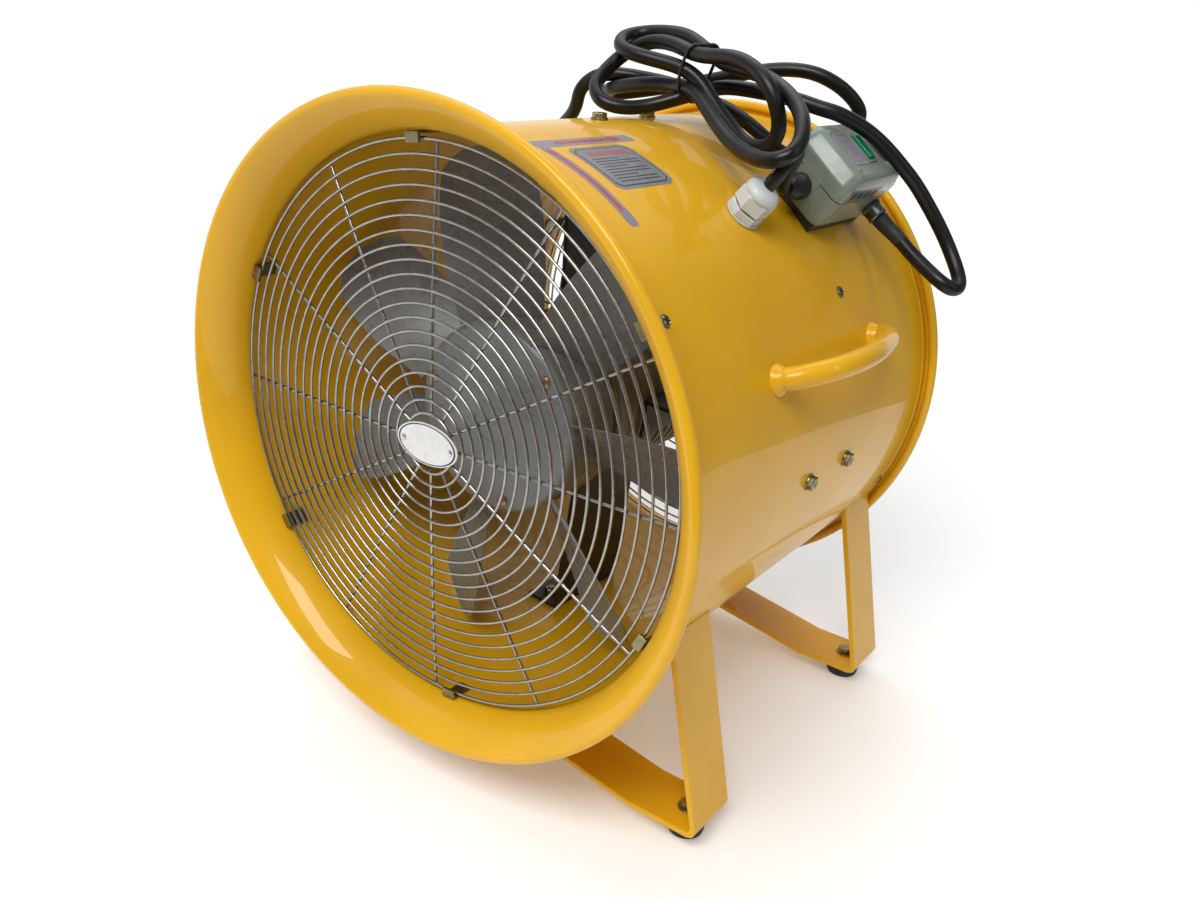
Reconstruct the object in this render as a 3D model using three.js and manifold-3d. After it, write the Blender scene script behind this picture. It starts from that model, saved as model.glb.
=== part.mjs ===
// Portable axial extraction fan: a bell-mouthed sheet-steel drum on two strap legs, with a guarded
// seven-blade impeller, a motor on four struts, a switch box and a tied-up mains lead.
// Millimetres, +Z up. The fan's own axis is Y; the bell mouth faces -Y and +X is to its right.
import * as THREE from 'three';
import { mergeVertices } from 'three/addons/utils/BufferGeometryUtils.js';
import Module from 'manifold-3d';

const wasm = await Module();
wasm.setup();

// Driving dimensions.
const AXIS_HEIGHT = 281;
const DRUM_RADIUS = 212;
const SHEET = 2;
const DRUM_FRONT = -176;
const DRUM_REAR = 212.2;
const BELL_ARC = 42.3;
const BELL_SWEEP = 58.5;
const BEAD_RADIUS = 4.2;
const FLANGE_RADIUS = 223.2;
const DRUM_SEGMENTS = 40;
const GAP = 0.3;

const GUARD_RADIUS = 205;
const GUARD_RINGS = 20;
const INNER_RING = 22.4;
const WIRE = 2;
const GUARD_DOME = 6;
const FRONT_GUARD_Y = -180.5;
const REAR_GUARD_Y = 198;
const SPOKE_STEP = 30;
const CLIP_ANGLES = [95, 155, 215, 275, 335, 35];

const STRUT_ANGLES = [90, -5.5, -96, 177];
const STRUT_FRONT = -20;
const STRUT_LENGTH = 92;
const STRUT_BOLTS_Y = [-6, 59];
const STRUT_WEB_OFFSET = 16;

const MOTOR_RADIUS = 70;
const MOTOR_FRONT = -50;
const SHAFT_RADIUS = 8;
const BLADES = 7;
const FIRST_BLADE = 48;
const HUB_RADIUS = 74.5;
const BLADE_TIP = 197;

const STRAP = 5;
const STRAP_WIDTH = 50;
const STRAP_LOW = -266;
const CORNER_X = 221;
const FOOT_X = 200;
const LEG_YS = [-112, 177];

const BOX_ANGLE = 50.5;
const BOX_BASE = 218;
const BOX_SPLIT = 242;
const LID_SLOPE = 12;
const BOX_TOP = 266;
const BOX_WIDTH = 56;
const BOX_FRONT = 48;
const BOX_LENGTH = 94;
const BOX_WALL = 2.5;
const GLAND_ANGLE = 50.2;
const GLAND_Y = -18;
const MAINS_GLAND_Y = 127;
const CORD_RADIUS = 5.5;
const CORD_STEPS = 96;
const LEAD_RADIUS = 4.5;

// Materials.
const paint = (color, roughness, metalness) => new THREE.MeshStandardMaterial({ color, roughness, metalness });
const YELLOW = paint(0xe6a817, 0.25, 0.1);
const ZINC = paint(0xb9bab4, 0.3, 0.9);
const CHROMATE = paint(0xb9a55a, 0.35, 0.8);
const GREY_PAINT = paint(0x6b6e6c, 0.4, 0.2);
const BLACK_PAINT = paint(0x141414, 0.45, 0.1);
const STEEL = paint(0x9a9c9e, 0.35, 0.9);
const LAMINATION = paint(0x4a4a4c, 0.55, 0.7);
const RUBBER = paint(0x161616, 0.8, 0);
const NYLON = paint(0xe4e5e0, 0.45, 0);
const BLACK_NYLON = paint(0x18191a, 0.45, 0);
const BOX_PLASTIC = paint(0x6a7368, 0.4, 0);
const GREEN = paint(0x0c7a34, 0.35, 0);
const RED = paint(0xb3202a, 0.35, 0);
const WHITE = paint(0xeceae4, 0.4, 0);

// The fan group has its origin on the axis at mid-length. In a spoke frame x points away from the
// axis, y along it to the rear and z round it, anticlockwise as seen from the front.
const product = new THREE.Group();
product.name = 'portable_axial_fan';
const fan = new THREE.Group();
fan.position.z = AXIS_HEIGHT;
product.add(fan);

function spokeFrame(angle) {
  const frame = new THREE.Group();
  frame.rotation.y = -THREE.MathUtils.degToRad(angle);
  fan.add(frame);
  return frame;
}

function addPart(parent, name, geometry, material) {
  const mesh = new THREE.Mesh(geometry, material);
  mesh.name = name;
  parent.add(mesh);
  return mesh;
}

// Closed solids and booleans.
function lathe(profile, segments, start = 0) {
  const points = profile.map(([r, y]) => new THREE.Vector2(r, y));
  return new THREE.LatheGeometry(points, segments, start);
}

function ringLathe(profile, segments, start = 0) {
  return lathe([...profile, profile[0]], segments, start);
}

function outline(points) {
  return new THREE.Shape(points.map(([x, y]) => new THREE.Vector2(x, y)));
}

function slab(points, depth) {
  const geometry = new THREE.ExtrudeGeometry(outline(points), { depth, bevelEnabled: false });
  return geometry.translate(0, 0, -depth / 2);
}

// A section drawn in the spoke frame's x and z, run along y from y0 for the given length.
function alongAxis(points, y0, length) {
  const geometry = new THREE.ExtrudeGeometry(outline(points), { depth: length, bevelEnabled: false });
  return geometry.rotateX(Math.PI / 2).translate(0, y0 + length, 0);
}

function block(x0, x1, y0, y1, z0, z1) {
  const box = new THREE.BoxGeometry(x1 - x0, y1 - y0, z1 - z0);
  return box.translate((x0 + x1) / 2, (y0 + y1) / 2, (z0 + z1) / 2);
}

function toSolid(geometry) {
  const bare = geometry.clone();
  bare.deleteAttribute('normal');
  bare.deleteAttribute('uv');
  const welded = mergeVertices(bare, 1e-5);
  const mesh = new wasm.Mesh({
    numProp: 3,
    vertProperties: new Float32Array(welded.attributes.position.array),
    triVerts: new Uint32Array(welded.index.array),
  });
  return new wasm.Manifold(mesh);
}

function toGeometry(solid) {
  const mesh = solid.getMesh();
  const geometry = new THREE.BufferGeometry();
  geometry.setAttribute('position', new THREE.BufferAttribute(mesh.vertProperties, 3));
  geometry.setIndex(new THREE.BufferAttribute(mesh.triVerts, 1));
  geometry.computeVertexNormals();
  return geometry;
}

function joined(geometries) {
  return toGeometry(geometries.map(toSolid).reduce((sum, next) => sum.add(next)));
}

function cut(geometry, tools) {
  return toGeometry(tools.map(toSolid).reduce((left, tool) => left.subtract(tool), toSolid(geometry)));
}

// A short rod along x, from x0 to x1, at (y, z).
function rod(radius, x0, x1, y = 0, z = 0, segments = 6) {
  const bar = new THREE.CylinderGeometry(radius, radius, x1 - x0, segments);
  return bar.rotateZ(-Math.PI / 2).translate((x0 + x1) / 2, y, z);
}

function turned(geometry, angle) {
  return geometry.rotateY(-THREE.MathUtils.degToRad(angle));
}

function arcPoints(cx, cy, radius, from, to, steps) {
  return Array.from({ length: steps + 1 }, (_, i) => {
    const a = THREE.MathUtils.degToRad(from + ((to - from) * i) / steps);
    return [cx + radius * Math.cos(a), cy + radius * Math.sin(a)];
  });
}

// Drum, bell and rear flange.
function addDrum() {
  const inner = DRUM_RADIUS - SHEET;
  const shell = ringLathe(
    [[inner, DRUM_FRONT], [DRUM_RADIUS, DRUM_FRONT], [DRUM_RADIUS, DRUM_REAR], [inner, DRUM_REAR]],
    DRUM_SEGMENTS,
  );
  const holes = STRUT_ANGLES.flatMap((angle) =>
    STRUT_BOLTS_Y.map((y) => turned(rod(3.6, inner - 4, DRUM_RADIUS + 4, y), angle)),
  );
  holes.push(turned(rod(11, inner - 4, DRUM_RADIUS + 4, GLAND_Y, 0, 8), GLAND_ANGLE));
  addPart(fan, 'drum_shell', cut(shell, holes), YELLOW);
}

// The wall flares outward in an arc that runs smoothly into the rounded bead of its rim.
function addBell() {
  const centre = DRUM_RADIUS - SHEET + BELL_ARC;
  const base = DRUM_FRONT - GAP;
  const [lip] = arcPoints(centre, base, BELL_ARC - BEAD_RADIUS, 180 + BELL_SWEEP, 180, 1);
  const face = arcPoints(centre, base, BELL_ARC, 180, 180 + BELL_SWEEP, 4);
  const bead = arcPoints(lip[0], lip[1], BEAD_RADIUS, 270, 490, 4);
  const back = arcPoints(centre, base, BELL_ARC - SHEET, 173.5 + BELL_SWEEP, 180, 4);
  addPart(fan, 'bell_mouth', ringLathe([...face, ...bead, ...back], DRUM_SEGMENTS), YELLOW);
}

function addRearFlange() {
  const bore = DRUM_RADIUS + GAP;
  const profile = [
    [bore, 202.4], [216.8, 203.4], [217.4, 205], [213.4, 205.2], [213.4, 206.8], [222, 206.8],
    [FLANGE_RADIUS, 208], [FLANGE_RADIUS, 211.2], [222, 212.4], [bore, 212.4],
  ];
  addPart(fan, 'rear_flange', ringLathe(profile, DRUM_SEGMENTS), YELLOW);
}

// Guards: concentric wire rings on twelve radial wires. The wire at twelve o'clock is joined to every
// ring and the others to the first and last ones.
function domeOffset(radius) {
  return GUARD_DOME * (1 - (radius / GUARD_RADIUS) ** 2);
}

function guardRing(radius) {
  const segments = radius < 70 ? 12 : 16;
  const half = WIRE / 2;
  const y = -domeOffset(radius);
  const section = [[radius, y - half], [radius + half, y + half], [radius - half, y + half]];
  return ringLathe(section, segments, Math.PI / segments);
}

function guardSpoke(angle, joinsAll) {
  const near = WIRE - 0.5;
  const far = joinsAll ? near : WIRE + GAP;
  const run = [[INNER_RING - 3, near], [INNER_RING + 3, near], [INNER_RING + 7, far], [75, far], [115, far]];
  run.push([155, far], [197, far], [201.5, near], [GUARD_RADIUS + 0.8, near]);
  const front = run.map(([r, lift]) => [r, lift - domeOffset(r) - WIRE / 2]);
  const back = run.map(([r, lift]) => [r, lift - domeOffset(r) + WIRE / 2]).reverse();
  return turned(slab([...front, ...back], WIRE), angle);
}

function guardGeometry() {
  const pitch = (GUARD_RADIUS - INNER_RING) / (GUARD_RINGS - 1);
  const wires = Array.from({ length: GUARD_RINGS }, (_, k) => guardRing(INNER_RING + k * pitch));
  for (let angle = 0; angle < 360; angle += SPOKE_STEP) {
    wires.push(guardSpoke(angle, angle === 90));
  }
  return joined(wires);
}

function addGuards() {
  const wires = guardGeometry();
  addPart(fan, 'front_guard', wires, ZINC).position.y = FRONT_GUARD_Y;
  const rear = addPart(fan, 'rear_guard', wires.clone(), ZINC);
  rear.rotation.z = Math.PI;
  rear.position.y = REAR_GUARD_Y;
}

// A hook screwed to the drum wall that holds the outer ring from the front.
function addClips() {
  const wall = DRUM_RADIUS - SHEET - 0.8;
  const front = FRONT_GUARD_Y - 4;
  const hook = [
    [wall, front], [wall, -163], [wall - 1.6, -163],
    [wall - 1.6, front + 2.4], [202, front + 2.4], [202, front],
  ];
  CLIP_ANGLES.forEach((angle, i) => {
    addPart(spokeFrame(angle), `guard_clip_${i + 1}`, slab(hook, 12), CHROMATE);
  });
}

function addBadge() {
  const oval = Array.from({ length: 20 }, (_, i) => {
    const a = (i * Math.PI) / 10;
    return [29 * Math.cos(a), 15.5 * Math.sin(a)];
  });
  const badge = addPart(fan, 'badge_plate', slab(oval, 1.2), WHITE);
  badge.rotation.x = Math.PI / 2;
  badge.position.y = FRONT_GUARD_Y - GUARD_DOME - WIRE / 2 - GAP - 0.6;
}

// Motor struts: channels with one flange on the motor casing and one bolted to the drum.
function strutSection() {
  const web = STRUT_WEB_OFFSET;
  const outer = DRUM_RADIUS - SHEET - 0.8;
  const onDrum = (r, z) => [Math.sqrt(r * r - z * z), z];
  const outerFace = [16.5, 6, -6, -16].map((z) => onDrum(outer, web + 1.5 - 16.5 + z));
  const innerFace = [-16, -6, 6, 13].map((z) => onDrum(outer - 3, web + 1.5 - 16.5 + z));
  const casing = MOTOR_RADIUS + 1;
  const motorSide = [[Math.sqrt((casing + 3) ** 2 - (web - 1.5) ** 2), web - 1.5]];
  motorSide.push(onDrum(casing + 3, 0), onDrum(casing + 3, -14));
  motorSide.push(onDrum(casing, -14), onDrum(casing, 0), onDrum(casing, web + 1.5));
  return [...outerFace, ...innerFace, ...motorSide];
}

function boltGeometry() {
  const profile = [
    [0, 200.2], [5.8, 200.2], [5.8, 205.6], [3, 205.6], [3, 212.4], [6.4, 212.4], [6, 217.2], [0, 217.2],
  ];
  return lathe(profile, 6).rotateZ(-Math.PI / 2);
}

function addStruts() {
  const holes = STRUT_BOLTS_Y.map((y) => rod(3.6, 196, 212, y));
  STRUT_ANGLES.forEach((angle, i) => {
    const frame = spokeFrame(angle);
    const channel = alongAxis(strutSection(), STRUT_FRONT, STRUT_LENGTH);
    addPart(frame, `motor_strut_${i + 1}`, cut(channel, holes), BLACK_PAINT);
    STRUT_BOLTS_Y.forEach((y, j) => {
      const bolt = addPart(frame, `strut_bolt_${2 * i + j + 1}`, boltGeometry(), CHROMATE);
      bolt.position.y = y;
    });
  });
}

// Motor.
function addMotor() {
  const r = MOTOR_RADIUS;
  const wall = r - 4;
  const casing = [
    [0, 84], [14, 84], [14, 82.4], [20.3, 82.4], [20.3, 69.6], [26, 69.6], [58, 80], [wall, 74],
    [wall, MOTOR_FRONT], [r, MOTOR_FRONT], [r, 80], [62, 90], [0, 92],
  ];
  addPart(fan, 'motor_casing', lathe(casing, 24), GREY_PAINT);
  const shield = [
    [11, -66], [26, -66], [60, -58], [r, -54], [r, MOTOR_FRONT - GAP], [60, MOTOR_FRONT - GAP],
    [26, -51.6], [20.3, -51.6], [20.3, -64.3], [11, -64.3],
  ];
  addPart(fan, 'motor_front_shield', ringLathe(shield, 24), GREY_PAINT);
  addPart(fan, 'stator_core', ringLathe([[48, -30], [65.6, -30], [65.6, 50], [48, 50]], 24), LAMINATION);
  addPart(fan, 'front_bearing', bearing(-64), STEEL);
  addPart(fan, 'rear_bearing', bearing(70), STEEL);
  addPart(fan, 'rotor_core', ringLathe([[8.3, -28], [47.2, -28], [47.2, 48], [8.3, 48]], 24), LAMINATION);
}

function bearing(y) {
  const bore = SHAFT_RADIUS + 0.09;
  return ringLathe([[bore, y], [20, y], [20, y + 12], [bore, y + 12]], 24);
}

// Impeller: hub cup, shaft and seven pitched blades.
function addImpeller() {
  const r = HUB_RADIUS;
  const hub = [
    [0, -126], [35, -125], [66, -120], [r, -111], [r, -66.6], [r - 3, -66.6], [r - 3, -109],
    [64, -116], [16, -120], [16, -92], [8.3, -92], [8.3, -117.4], [0, -117.4],
  ];
  addPart(fan, 'impeller_hub', lathe(hub, 21), GREY_PAINT);
  addPart(fan, 'motor_shaft', lathe([[0, -117], [SHAFT_RADIUS, -117], [SHAFT_RADIUS, 82], [0, 82]], 24), STEEL);
  for (let i = 0; i < BLADES; i += 1) {
    const blade = bladeGeometry();
    addPart(spokeFrame(FIRST_BLADE + (i * 360) / BLADES), `blade_${i + 1}`, blade, GREY_PAINT);
  }
}

// One blade as two skins of the same grid. The leading edge is to the front and anticlockwise.
function bladePoint(u, v, side) {
  const root = HUB_RADIUS + 1;
  const radius = root + u * (BLADE_TIP - root) - 26 * u ** 6 * (0.35 - v) ** 2 * 4 * (v < 0.35 ? 1 : 0.4);
  const pitch = THREE.MathUtils.degToRad(46 - 20 * u);
  const chord = 62 + 14 * Math.sin(Math.PI * Math.min(1, u * 0.9));
  const along = (0.5 - v) * chord;
  const camber = 5 * (1 - (2 * v - 1) ** 2);
  const lift = camber + side * 1.2;
  const round = along * Math.cos(pitch) + lift * Math.sin(pitch) * 0.6;
  const y = -98 - along * Math.sin(pitch) + lift * Math.cos(pitch);
  const angle = round / radius;
  return [radius * Math.cos(angle), y, radius * Math.sin(angle)];
}

function bladeGeometry() {
  const rows = 6;
  const columns = 4;
  const positions = [];
  const index = [];
  for (const side of [-1, 1]) {
    for (let i = 0; i <= rows; i += 1) {
      for (let j = 0; j <= columns; j += 1) {
        positions.push(...bladePoint(i / rows, j / columns, side));
      }
    }
  }
  const layer = (rows + 1) * (columns + 1);
  const at = (side, i, j) => side * layer + i * (columns + 1) + j;
  const quad = (a, b, c, d) => index.push(a, b, c, a, c, d);
  for (let i = 0; i < rows; i += 1) {
    for (let j = 0; j < columns; j += 1) {
      quad(at(0, i, j), at(0, i, j + 1), at(0, i + 1, j + 1), at(0, i + 1, j));
      quad(at(1, i, j), at(1, i + 1, j), at(1, i + 1, j + 1), at(1, i, j + 1));
    }
    quad(at(0, i, 0), at(0, i + 1, 0), at(1, i + 1, 0), at(1, i, 0));
    quad(at(0, i + 1, columns), at(0, i, columns), at(1, i, columns), at(1, i + 1, columns));
  }
  for (let j = 0; j < columns; j += 1) {
    quad(at(0, 0, j + 1), at(0, 0, j), at(1, 0, j), at(1, 0, j + 1));
    quad(at(0, rows, j), at(0, rows, j + 1), at(1, rows, j + 1), at(1, rows, j));
  }
  const geometry = new THREE.BufferGeometry();
  geometry.setAttribute('position', new THREE.Float32BufferAttribute(positions, 3));
  geometry.setIndex(index);
  geometry.computeVertexNormals();
  return geometry;
}

// Legs: one bent flat bar each, welded to the drum at both ends.
function legOutline() {
  const half = [
    [FOOT_X - 38, STRAP_LOW], [CORNER_X - 7, STRAP_LOW], [CORNER_X - 2, STRAP_LOW + 2],
    [CORNER_X, STRAP_LOW + 8], [180, -84],
  ];
  const innerHalf = [
    [175, -84], [CORNER_X - STRAP, STRAP_LOW + 8.6], [CORNER_X - 7, STRAP_LOW + STRAP],
    [FOOT_X - 38.5, STRAP_LOW + STRAP], [42, STRAP_LOW + 20 + STRAP],
  ];
  const mirror = (points) => points.map(([x, z]) => [-x, z]).reverse();
  return [[42, STRAP_LOW + 20], ...half, ...innerHalf, ...mirror(innerHalf), ...mirror(half), [-42, STRAP_LOW + 20]];
}

function addLegs() {
  const drum = lathe([[0, -300], [DRUM_RADIUS + GAP, -300], [DRUM_RADIUS + GAP, 300], [0, 300]], DRUM_SEGMENTS);
  LEG_YS.forEach((y, i) => {
    const strap = alongAxis(legOutline(), y - STRAP_WIDTH / 2, STRAP_WIDTH);
    const holes = [-1, 1].map((side) => {
      const hole = new THREE.CylinderGeometry(4.4, 4.4, 20, 8);
      return hole.rotateX(Math.PI / 2).translate(side * FOOT_X, y, STRAP_LOW + STRAP / 2);
    });
    addPart(fan, i === 0 ? 'front_leg' : 'rear_leg', cut(strap, [drum, ...holes]), YELLOW);
    [1, -1].forEach((side, j) => {
      const foot = addPart(fan, `foot_${2 * i + j + 1}`, footGeometry(), RUBBER);
      foot.position.set(side * FOOT_X, y, STRAP_LOW);
    });
  });
}

function footGeometry() {
  const profile = [
    [0, -15], [13.5, -15], [14.5, -12], [13.5, -GAP], [4, -GAP],
    [4, STRAP + GAP], [6.5, STRAP + GAP], [6.5, STRAP + 5.6], [0, STRAP + 5.6],
  ];
  return lathe(profile, 10).rotateX(Math.PI / 2);
}

// Handles: a bent tube with a round pad at each end.
function handleGeometry() {
  const bow = [
    [214, -62], [221, -61.8], [238, -48], [248, -26], [250, 8],
    [244, 42], [235, 74], [221, 97.8], [214, 98],
  ];
  const path = new THREE.CatmullRomCurve3(bow.map(([x, y]) => new THREE.Vector3(x, y, 0)));
  const section = outline(arcPoints(0, 0, 8, 0, 315, 7));
  const tube = new THREE.ExtrudeGeometry(section, { steps: 10, extrudePath: path });
  const pads = [-62, 98].map((y) => rod(11, DRUM_RADIUS + 0.6, DRUM_RADIUS + 4.5, y, 0, 10));
  return joined([tube, ...pads]);
}

function addHandles() {
  addPart(spokeFrame(18.8), 'handle_right', handleGeometry(), YELLOW);
  addPart(spokeFrame(161.2), 'handle_left', handleGeometry(), YELLOW);
}

// Switch box, drawn in its spoke frame: x is its height above the drum.
function roundedBox(x0, x1, y0, y1, halfZ, corner) {
  const corners = [
    [halfZ - corner, y1 - corner, 0], [corner - halfZ, y1 - corner, 90],
    [corner - halfZ, y0 + corner, 180], [halfZ - corner, y0 + corner, 270],
  ];
  const points = corners.flatMap(([z, y, from]) => arcPoints(z, y, corner, from, from + 90, 2));
  const geometry = new THREE.ExtrudeGeometry(outline(points), { depth: x1 - x0, bevelEnabled: false });
  return geometry.rotateY(Math.PI / 2).translate(x0, 0, 0);
}

function hollowBox(x0, x1, open) {
  const rear = BOX_FRONT + BOX_LENGTH;
  const w = BOX_WALL;
  const outer = roundedBox(x0, x1, BOX_FRONT, rear, BOX_WIDTH / 2, 5);
  const low = open === 'top' ? x0 + w : x0 - 1;
  const high = open === 'top' ? x1 + 1 : x1 - w;
  return [outer, roundedBox(low, high, BOX_FRONT + w, rear - w, BOX_WIDTH / 2 - w, 3)];
}

const BUTTONS = [['start_button', 94, GREEN], ['stop_button', 126, RED]];

// The lid is a shallow cap: its sides lean inward over the last LID_SLOPE of its height.
function lidGeometry() {
  const rear = BOX_FRONT + BOX_LENGTH;
  const bend = BOX_TOP - LID_SLOPE;
  const [outer] = hollowBox(BOX_SPLIT + GAP, BOX_TOP, 'bottom');
  const low = roundedBox(BOX_SPLIT - 1, bend, BOX_FRONT + BOX_WALL, rear - BOX_WALL, 25.5, 3);
  const high = roundedBox(bend - 1, BOX_TOP - BOX_WALL, BOX_FRONT + 9.5, rear - 9, 23.5, 3);
  const front = block(0, 20, -12, 0, -40, 40).rotateZ(Math.atan2(9, LID_SLOPE)).translate(bend, BOX_FRONT, 0);
  const back = block(0, 20, 0, 12, -40, 40).rotateZ(-Math.atan2(9, LID_SLOPE)).translate(bend, rear, 0);
  const side = [[BOX_TOP - 4, 28], [BOX_TOP + 1, 23], [BOX_TOP + 4, 23], [BOX_TOP + 4, 32], [BOX_TOP - 4, 32]];
  const sides = [side, side.map(([x, z]) => [x, -z])].map((shape) => alongAxis(shape, BOX_FRONT - 5, 110));
  const slots = BUTTONS.map(([, y]) => block(BOX_TOP - 5, BOX_TOP + 5, y - 5, y + 5, -11, 11));
  return cut(outer, [low, high, front, back, ...sides, ...slots]);
}

function addSwitchBox() {
  const frame = spokeFrame(BOX_ANGLE);
  const [baseOuter, baseHollow] = hollowBox(BOX_BASE, BOX_SPLIT, 'top');
  const leadHole = new THREE.CylinderGeometry(8, 8, 8, 8).translate(230.5, BOX_FRONT, 1.6);
  const mainsHole = new THREE.CylinderGeometry(8, 8, 8, 8).rotateX(Math.PI / 2);
  mainsHole.translate(232, MAINS_GLAND_Y, -BOX_WIDTH / 2);
  const base = cut(baseOuter, [baseHollow, leadHole, mainsHole]);
  addPart(frame, 'switch_box_base', base, BOX_PLASTIC);
  addPart(frame, 'switch_box_lid', lidGeometry(), BOX_PLASTIC);
  BUTTONS.forEach(([name, y, material]) => {
    const cap = block(257, 268.5, y - 4.6, y + 4.6, -10.6, 10.6);
    const flange = block(257, 259, y - 6.4, y + 6.4, -12.4, 12.4);
    addPart(frame, name, joined([cap, flange]), material);
  });
  addPart(frame, 'contactor', block(220.8, 252, 60, 112, -19, 19), BLACK_NYLON);
  const under = [-26, -13, 0, 13, 26].map((z) => [Math.sqrt((DRUM_RADIUS + 0.4) ** 2 - z * z), z]);
  const pad = [...under, [BOX_BASE - GAP, 26], [BOX_BASE - GAP, -26]];
  addPart(frame, 'switch_box_pad', alongAxis(pad, BOX_FRONT + 4, BOX_LENGTH - 8), RUBBER);
  addBoxGlands(frame);
}

function addBoxGlands(frame) {
  const relief = [
    [0, 26], [6.5, 26], [8.8, 30], [8.8, 40], [9.6, 41], [9.6, 47.7], [7, 47.7], [7, 50.8],
    [9, 50.8], [9, 54.5], [0, 54.5],
  ];
  addPart(frame, 'lead_strain_relief', lathe(relief, 8), BLACK_NYLON).position.set(230.5, 0, 1.6);
  const gland = [
    [0, 21], [9, 21], [9, 25.2], [7, 25.2], [7, 28.3], [8.6, 28.3], [8.6, 32], [7.6, 32.4],
    [7.6, 38], [6.4, 41], [0, 41],
  ];
  const silver = addPart(frame, 'mains_gland', lathe(gland, 8).rotateX(-Math.PI / 2), STEEL);
  silver.position.set(232, MAINS_GLAND_Y, 0);
}

function addDrumGland() {
  const profile = [
    [0, 204], [13, 204], [13, 209], [10, 209], [10, 212.4], [12.5, 212.4], [12.5, 218], [10.5, 218.6],
    [10.5, 219.8], [14, 219.8], [14, 232], [12, 237], [7.5, 240], [0, 240],
  ];
  const frame = spokeFrame(GLAND_ANGLE);
  addPart(frame, 'lead_gland', lathe(profile, 6).rotateZ(-Math.PI / 2), NYLON).position.y = GLAND_Y;
}

// Cords. The motor lead arches from the drum's gland to the strain relief of the switch box.
function tube(points, radius, sides, steps) {
  const path = new THREE.CatmullRomCurve3(points.map(([x, y, z]) => new THREE.Vector3(x, y, z)));
  const section = outline(arcPoints(0, 0, radius, 0, 360 - 360 / sides, sides - 1));
  return new THREE.ExtrudeGeometry(section, { steps, extrudePath: path });
}

// Angle round the drum in degrees, distance from the axis, and place along it.
const LEAD_ROUTE = [
  [50.2, 240.6, -18], [50.3, 250, -17.5], [50.8, 259, -14], [51.6, 264.5, -5], [52, 262, 5],
  [51.8, 252, 10], [51.3, 241, 13.5], [51, 233, 17.5], [50.9, 230.7, 21.5], [50.9, 230.6, 25.4],
];

function addMotorLead() {
  const points = LEAD_ROUTE.map(([angle, r, y]) => {
    const a = THREE.MathUtils.degToRad(angle);
    return [r * Math.cos(a), y, r * Math.sin(a)];
  });
  addPart(fan, 'motor_lead', tube(points, LEAD_RADIUS, 8, 16), BLACK_NYLON);
}

// The mains cord's route, as x, y, z from the middle of the drum's axis. It drops from its gland, turns
// back over the switch box, makes three loops to each side of the tie on top of the drum, and goes down
// the far side and under a curve on the floor to its plug.
const CORD_ROUTE = [
  [179.4, 127, 152.7], [184.9, 127, 148.2], [196.6, 125.5, 141.4], [211.7, 121.5, 131.1], [228.8, 117, 121.6],
  [239.5, 114.2, 116.3], [246.8, 117.3, 112.2], [249.8, 124.5, 111], [248.6, 133, 114.2], [242.2, 140, 122.6],
  [231.4, 144, 137.3], [222.1, 143, 150.9], [212.1, 138.5, 165.5], [201.3, 130, 182], [191.9, 121, 194],
  [179.2, 114.5, 206.8], [166.8, 104, 217.8], [155.4, 86, 226.6], [148.4, 80, 229.4], [138.4, 76, 231.5],
  [125.9, 72, 234.7], [111.9, 69, 237.2], [98.3, 66, 238.6], [80, 63, 240], [63, 60, 239.5], [40, 54, 232],
  [14, 38, 222], [-1, 22, 220], [-16, 16, 224], [-28, 24, 234], [-27, 43, 249], [-17, 54, 261], [2, 56, 268],
  [26, 50, 267], [47, 42, 262], [67, 34, 261], [89, 27, 262], [110, 21, 257], [128, 15, 245], [136, 17, 229],
  [136, 21, 216], [128, 24, 205], [109, 28, 204], [89, 34, 216], [69, 40, 231], [54, 43, 244], [40, 42, 251],
  [20, 38, 255], [2, 34, 258], [-14, 36, 262], [-24, 52, 269], [-18, 68, 273], [5, 70, 275], [29, 64, 273],
  [50, 55, 265], [72, 49, 256], [100, 41, 253], [124, 33, 247], [145, 20, 238], [161, 4, 228], [169, -10, 216],
  [169, -23, 207], [158, -28, 202], [138, -18, 202], [110, 0, 208], [83, 17, 222], [55, 37, 237],
  [27, 54, 238], [-3, 62, 237], [-32, 68, 233], [-55, 80, 228], [-64, 97, 224], [-51, 107, 226],
  [-31, 111, 230], [-6, 114, 235], [24, 117, 242], [61, 122, 251], [83, 128, 254], [104, 134, 253],
  [122, 143, 245], [133, 153, 234], [137, 160, 223], [125, 167, 204], [117, 163, 194], [111, 148, 189],
  [109, 128, 189], [107, 110, 191], [102, 96, 195], [90, 88, 206], [58, 90, 222], [27, 92, 229], [7, 89, 236],
  [-20, 87, 239], [-45, 80, 241], [-63, 71, 238], [-74, 66, 226], [-76, 66, 215], [-86, 70, 203],
  [-116, 82, 185], [-152, 102, 157], [-185, 122, 116], [-209, 130, 64], [-219, 131, 0], [-219, 131, -60],
  [-219, 131, -120], [-218, 131, -180], [-215, 129, -230], [-206, 121, -262], [-186, 107, -274.9],
  [-152, 86, -275.2], [-130, 52, -275.2], [-124, 14, -275.2], [-136, -22, -275.2], [-160, -43, -275.2],
  [-188, -46, -275.2], [-206, -33, -273], [-211.5, -14, -266], [-212, 6, -262.8], [-212, 18, -262.7],
];
const PLUG_RADIUS = 18;

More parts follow.
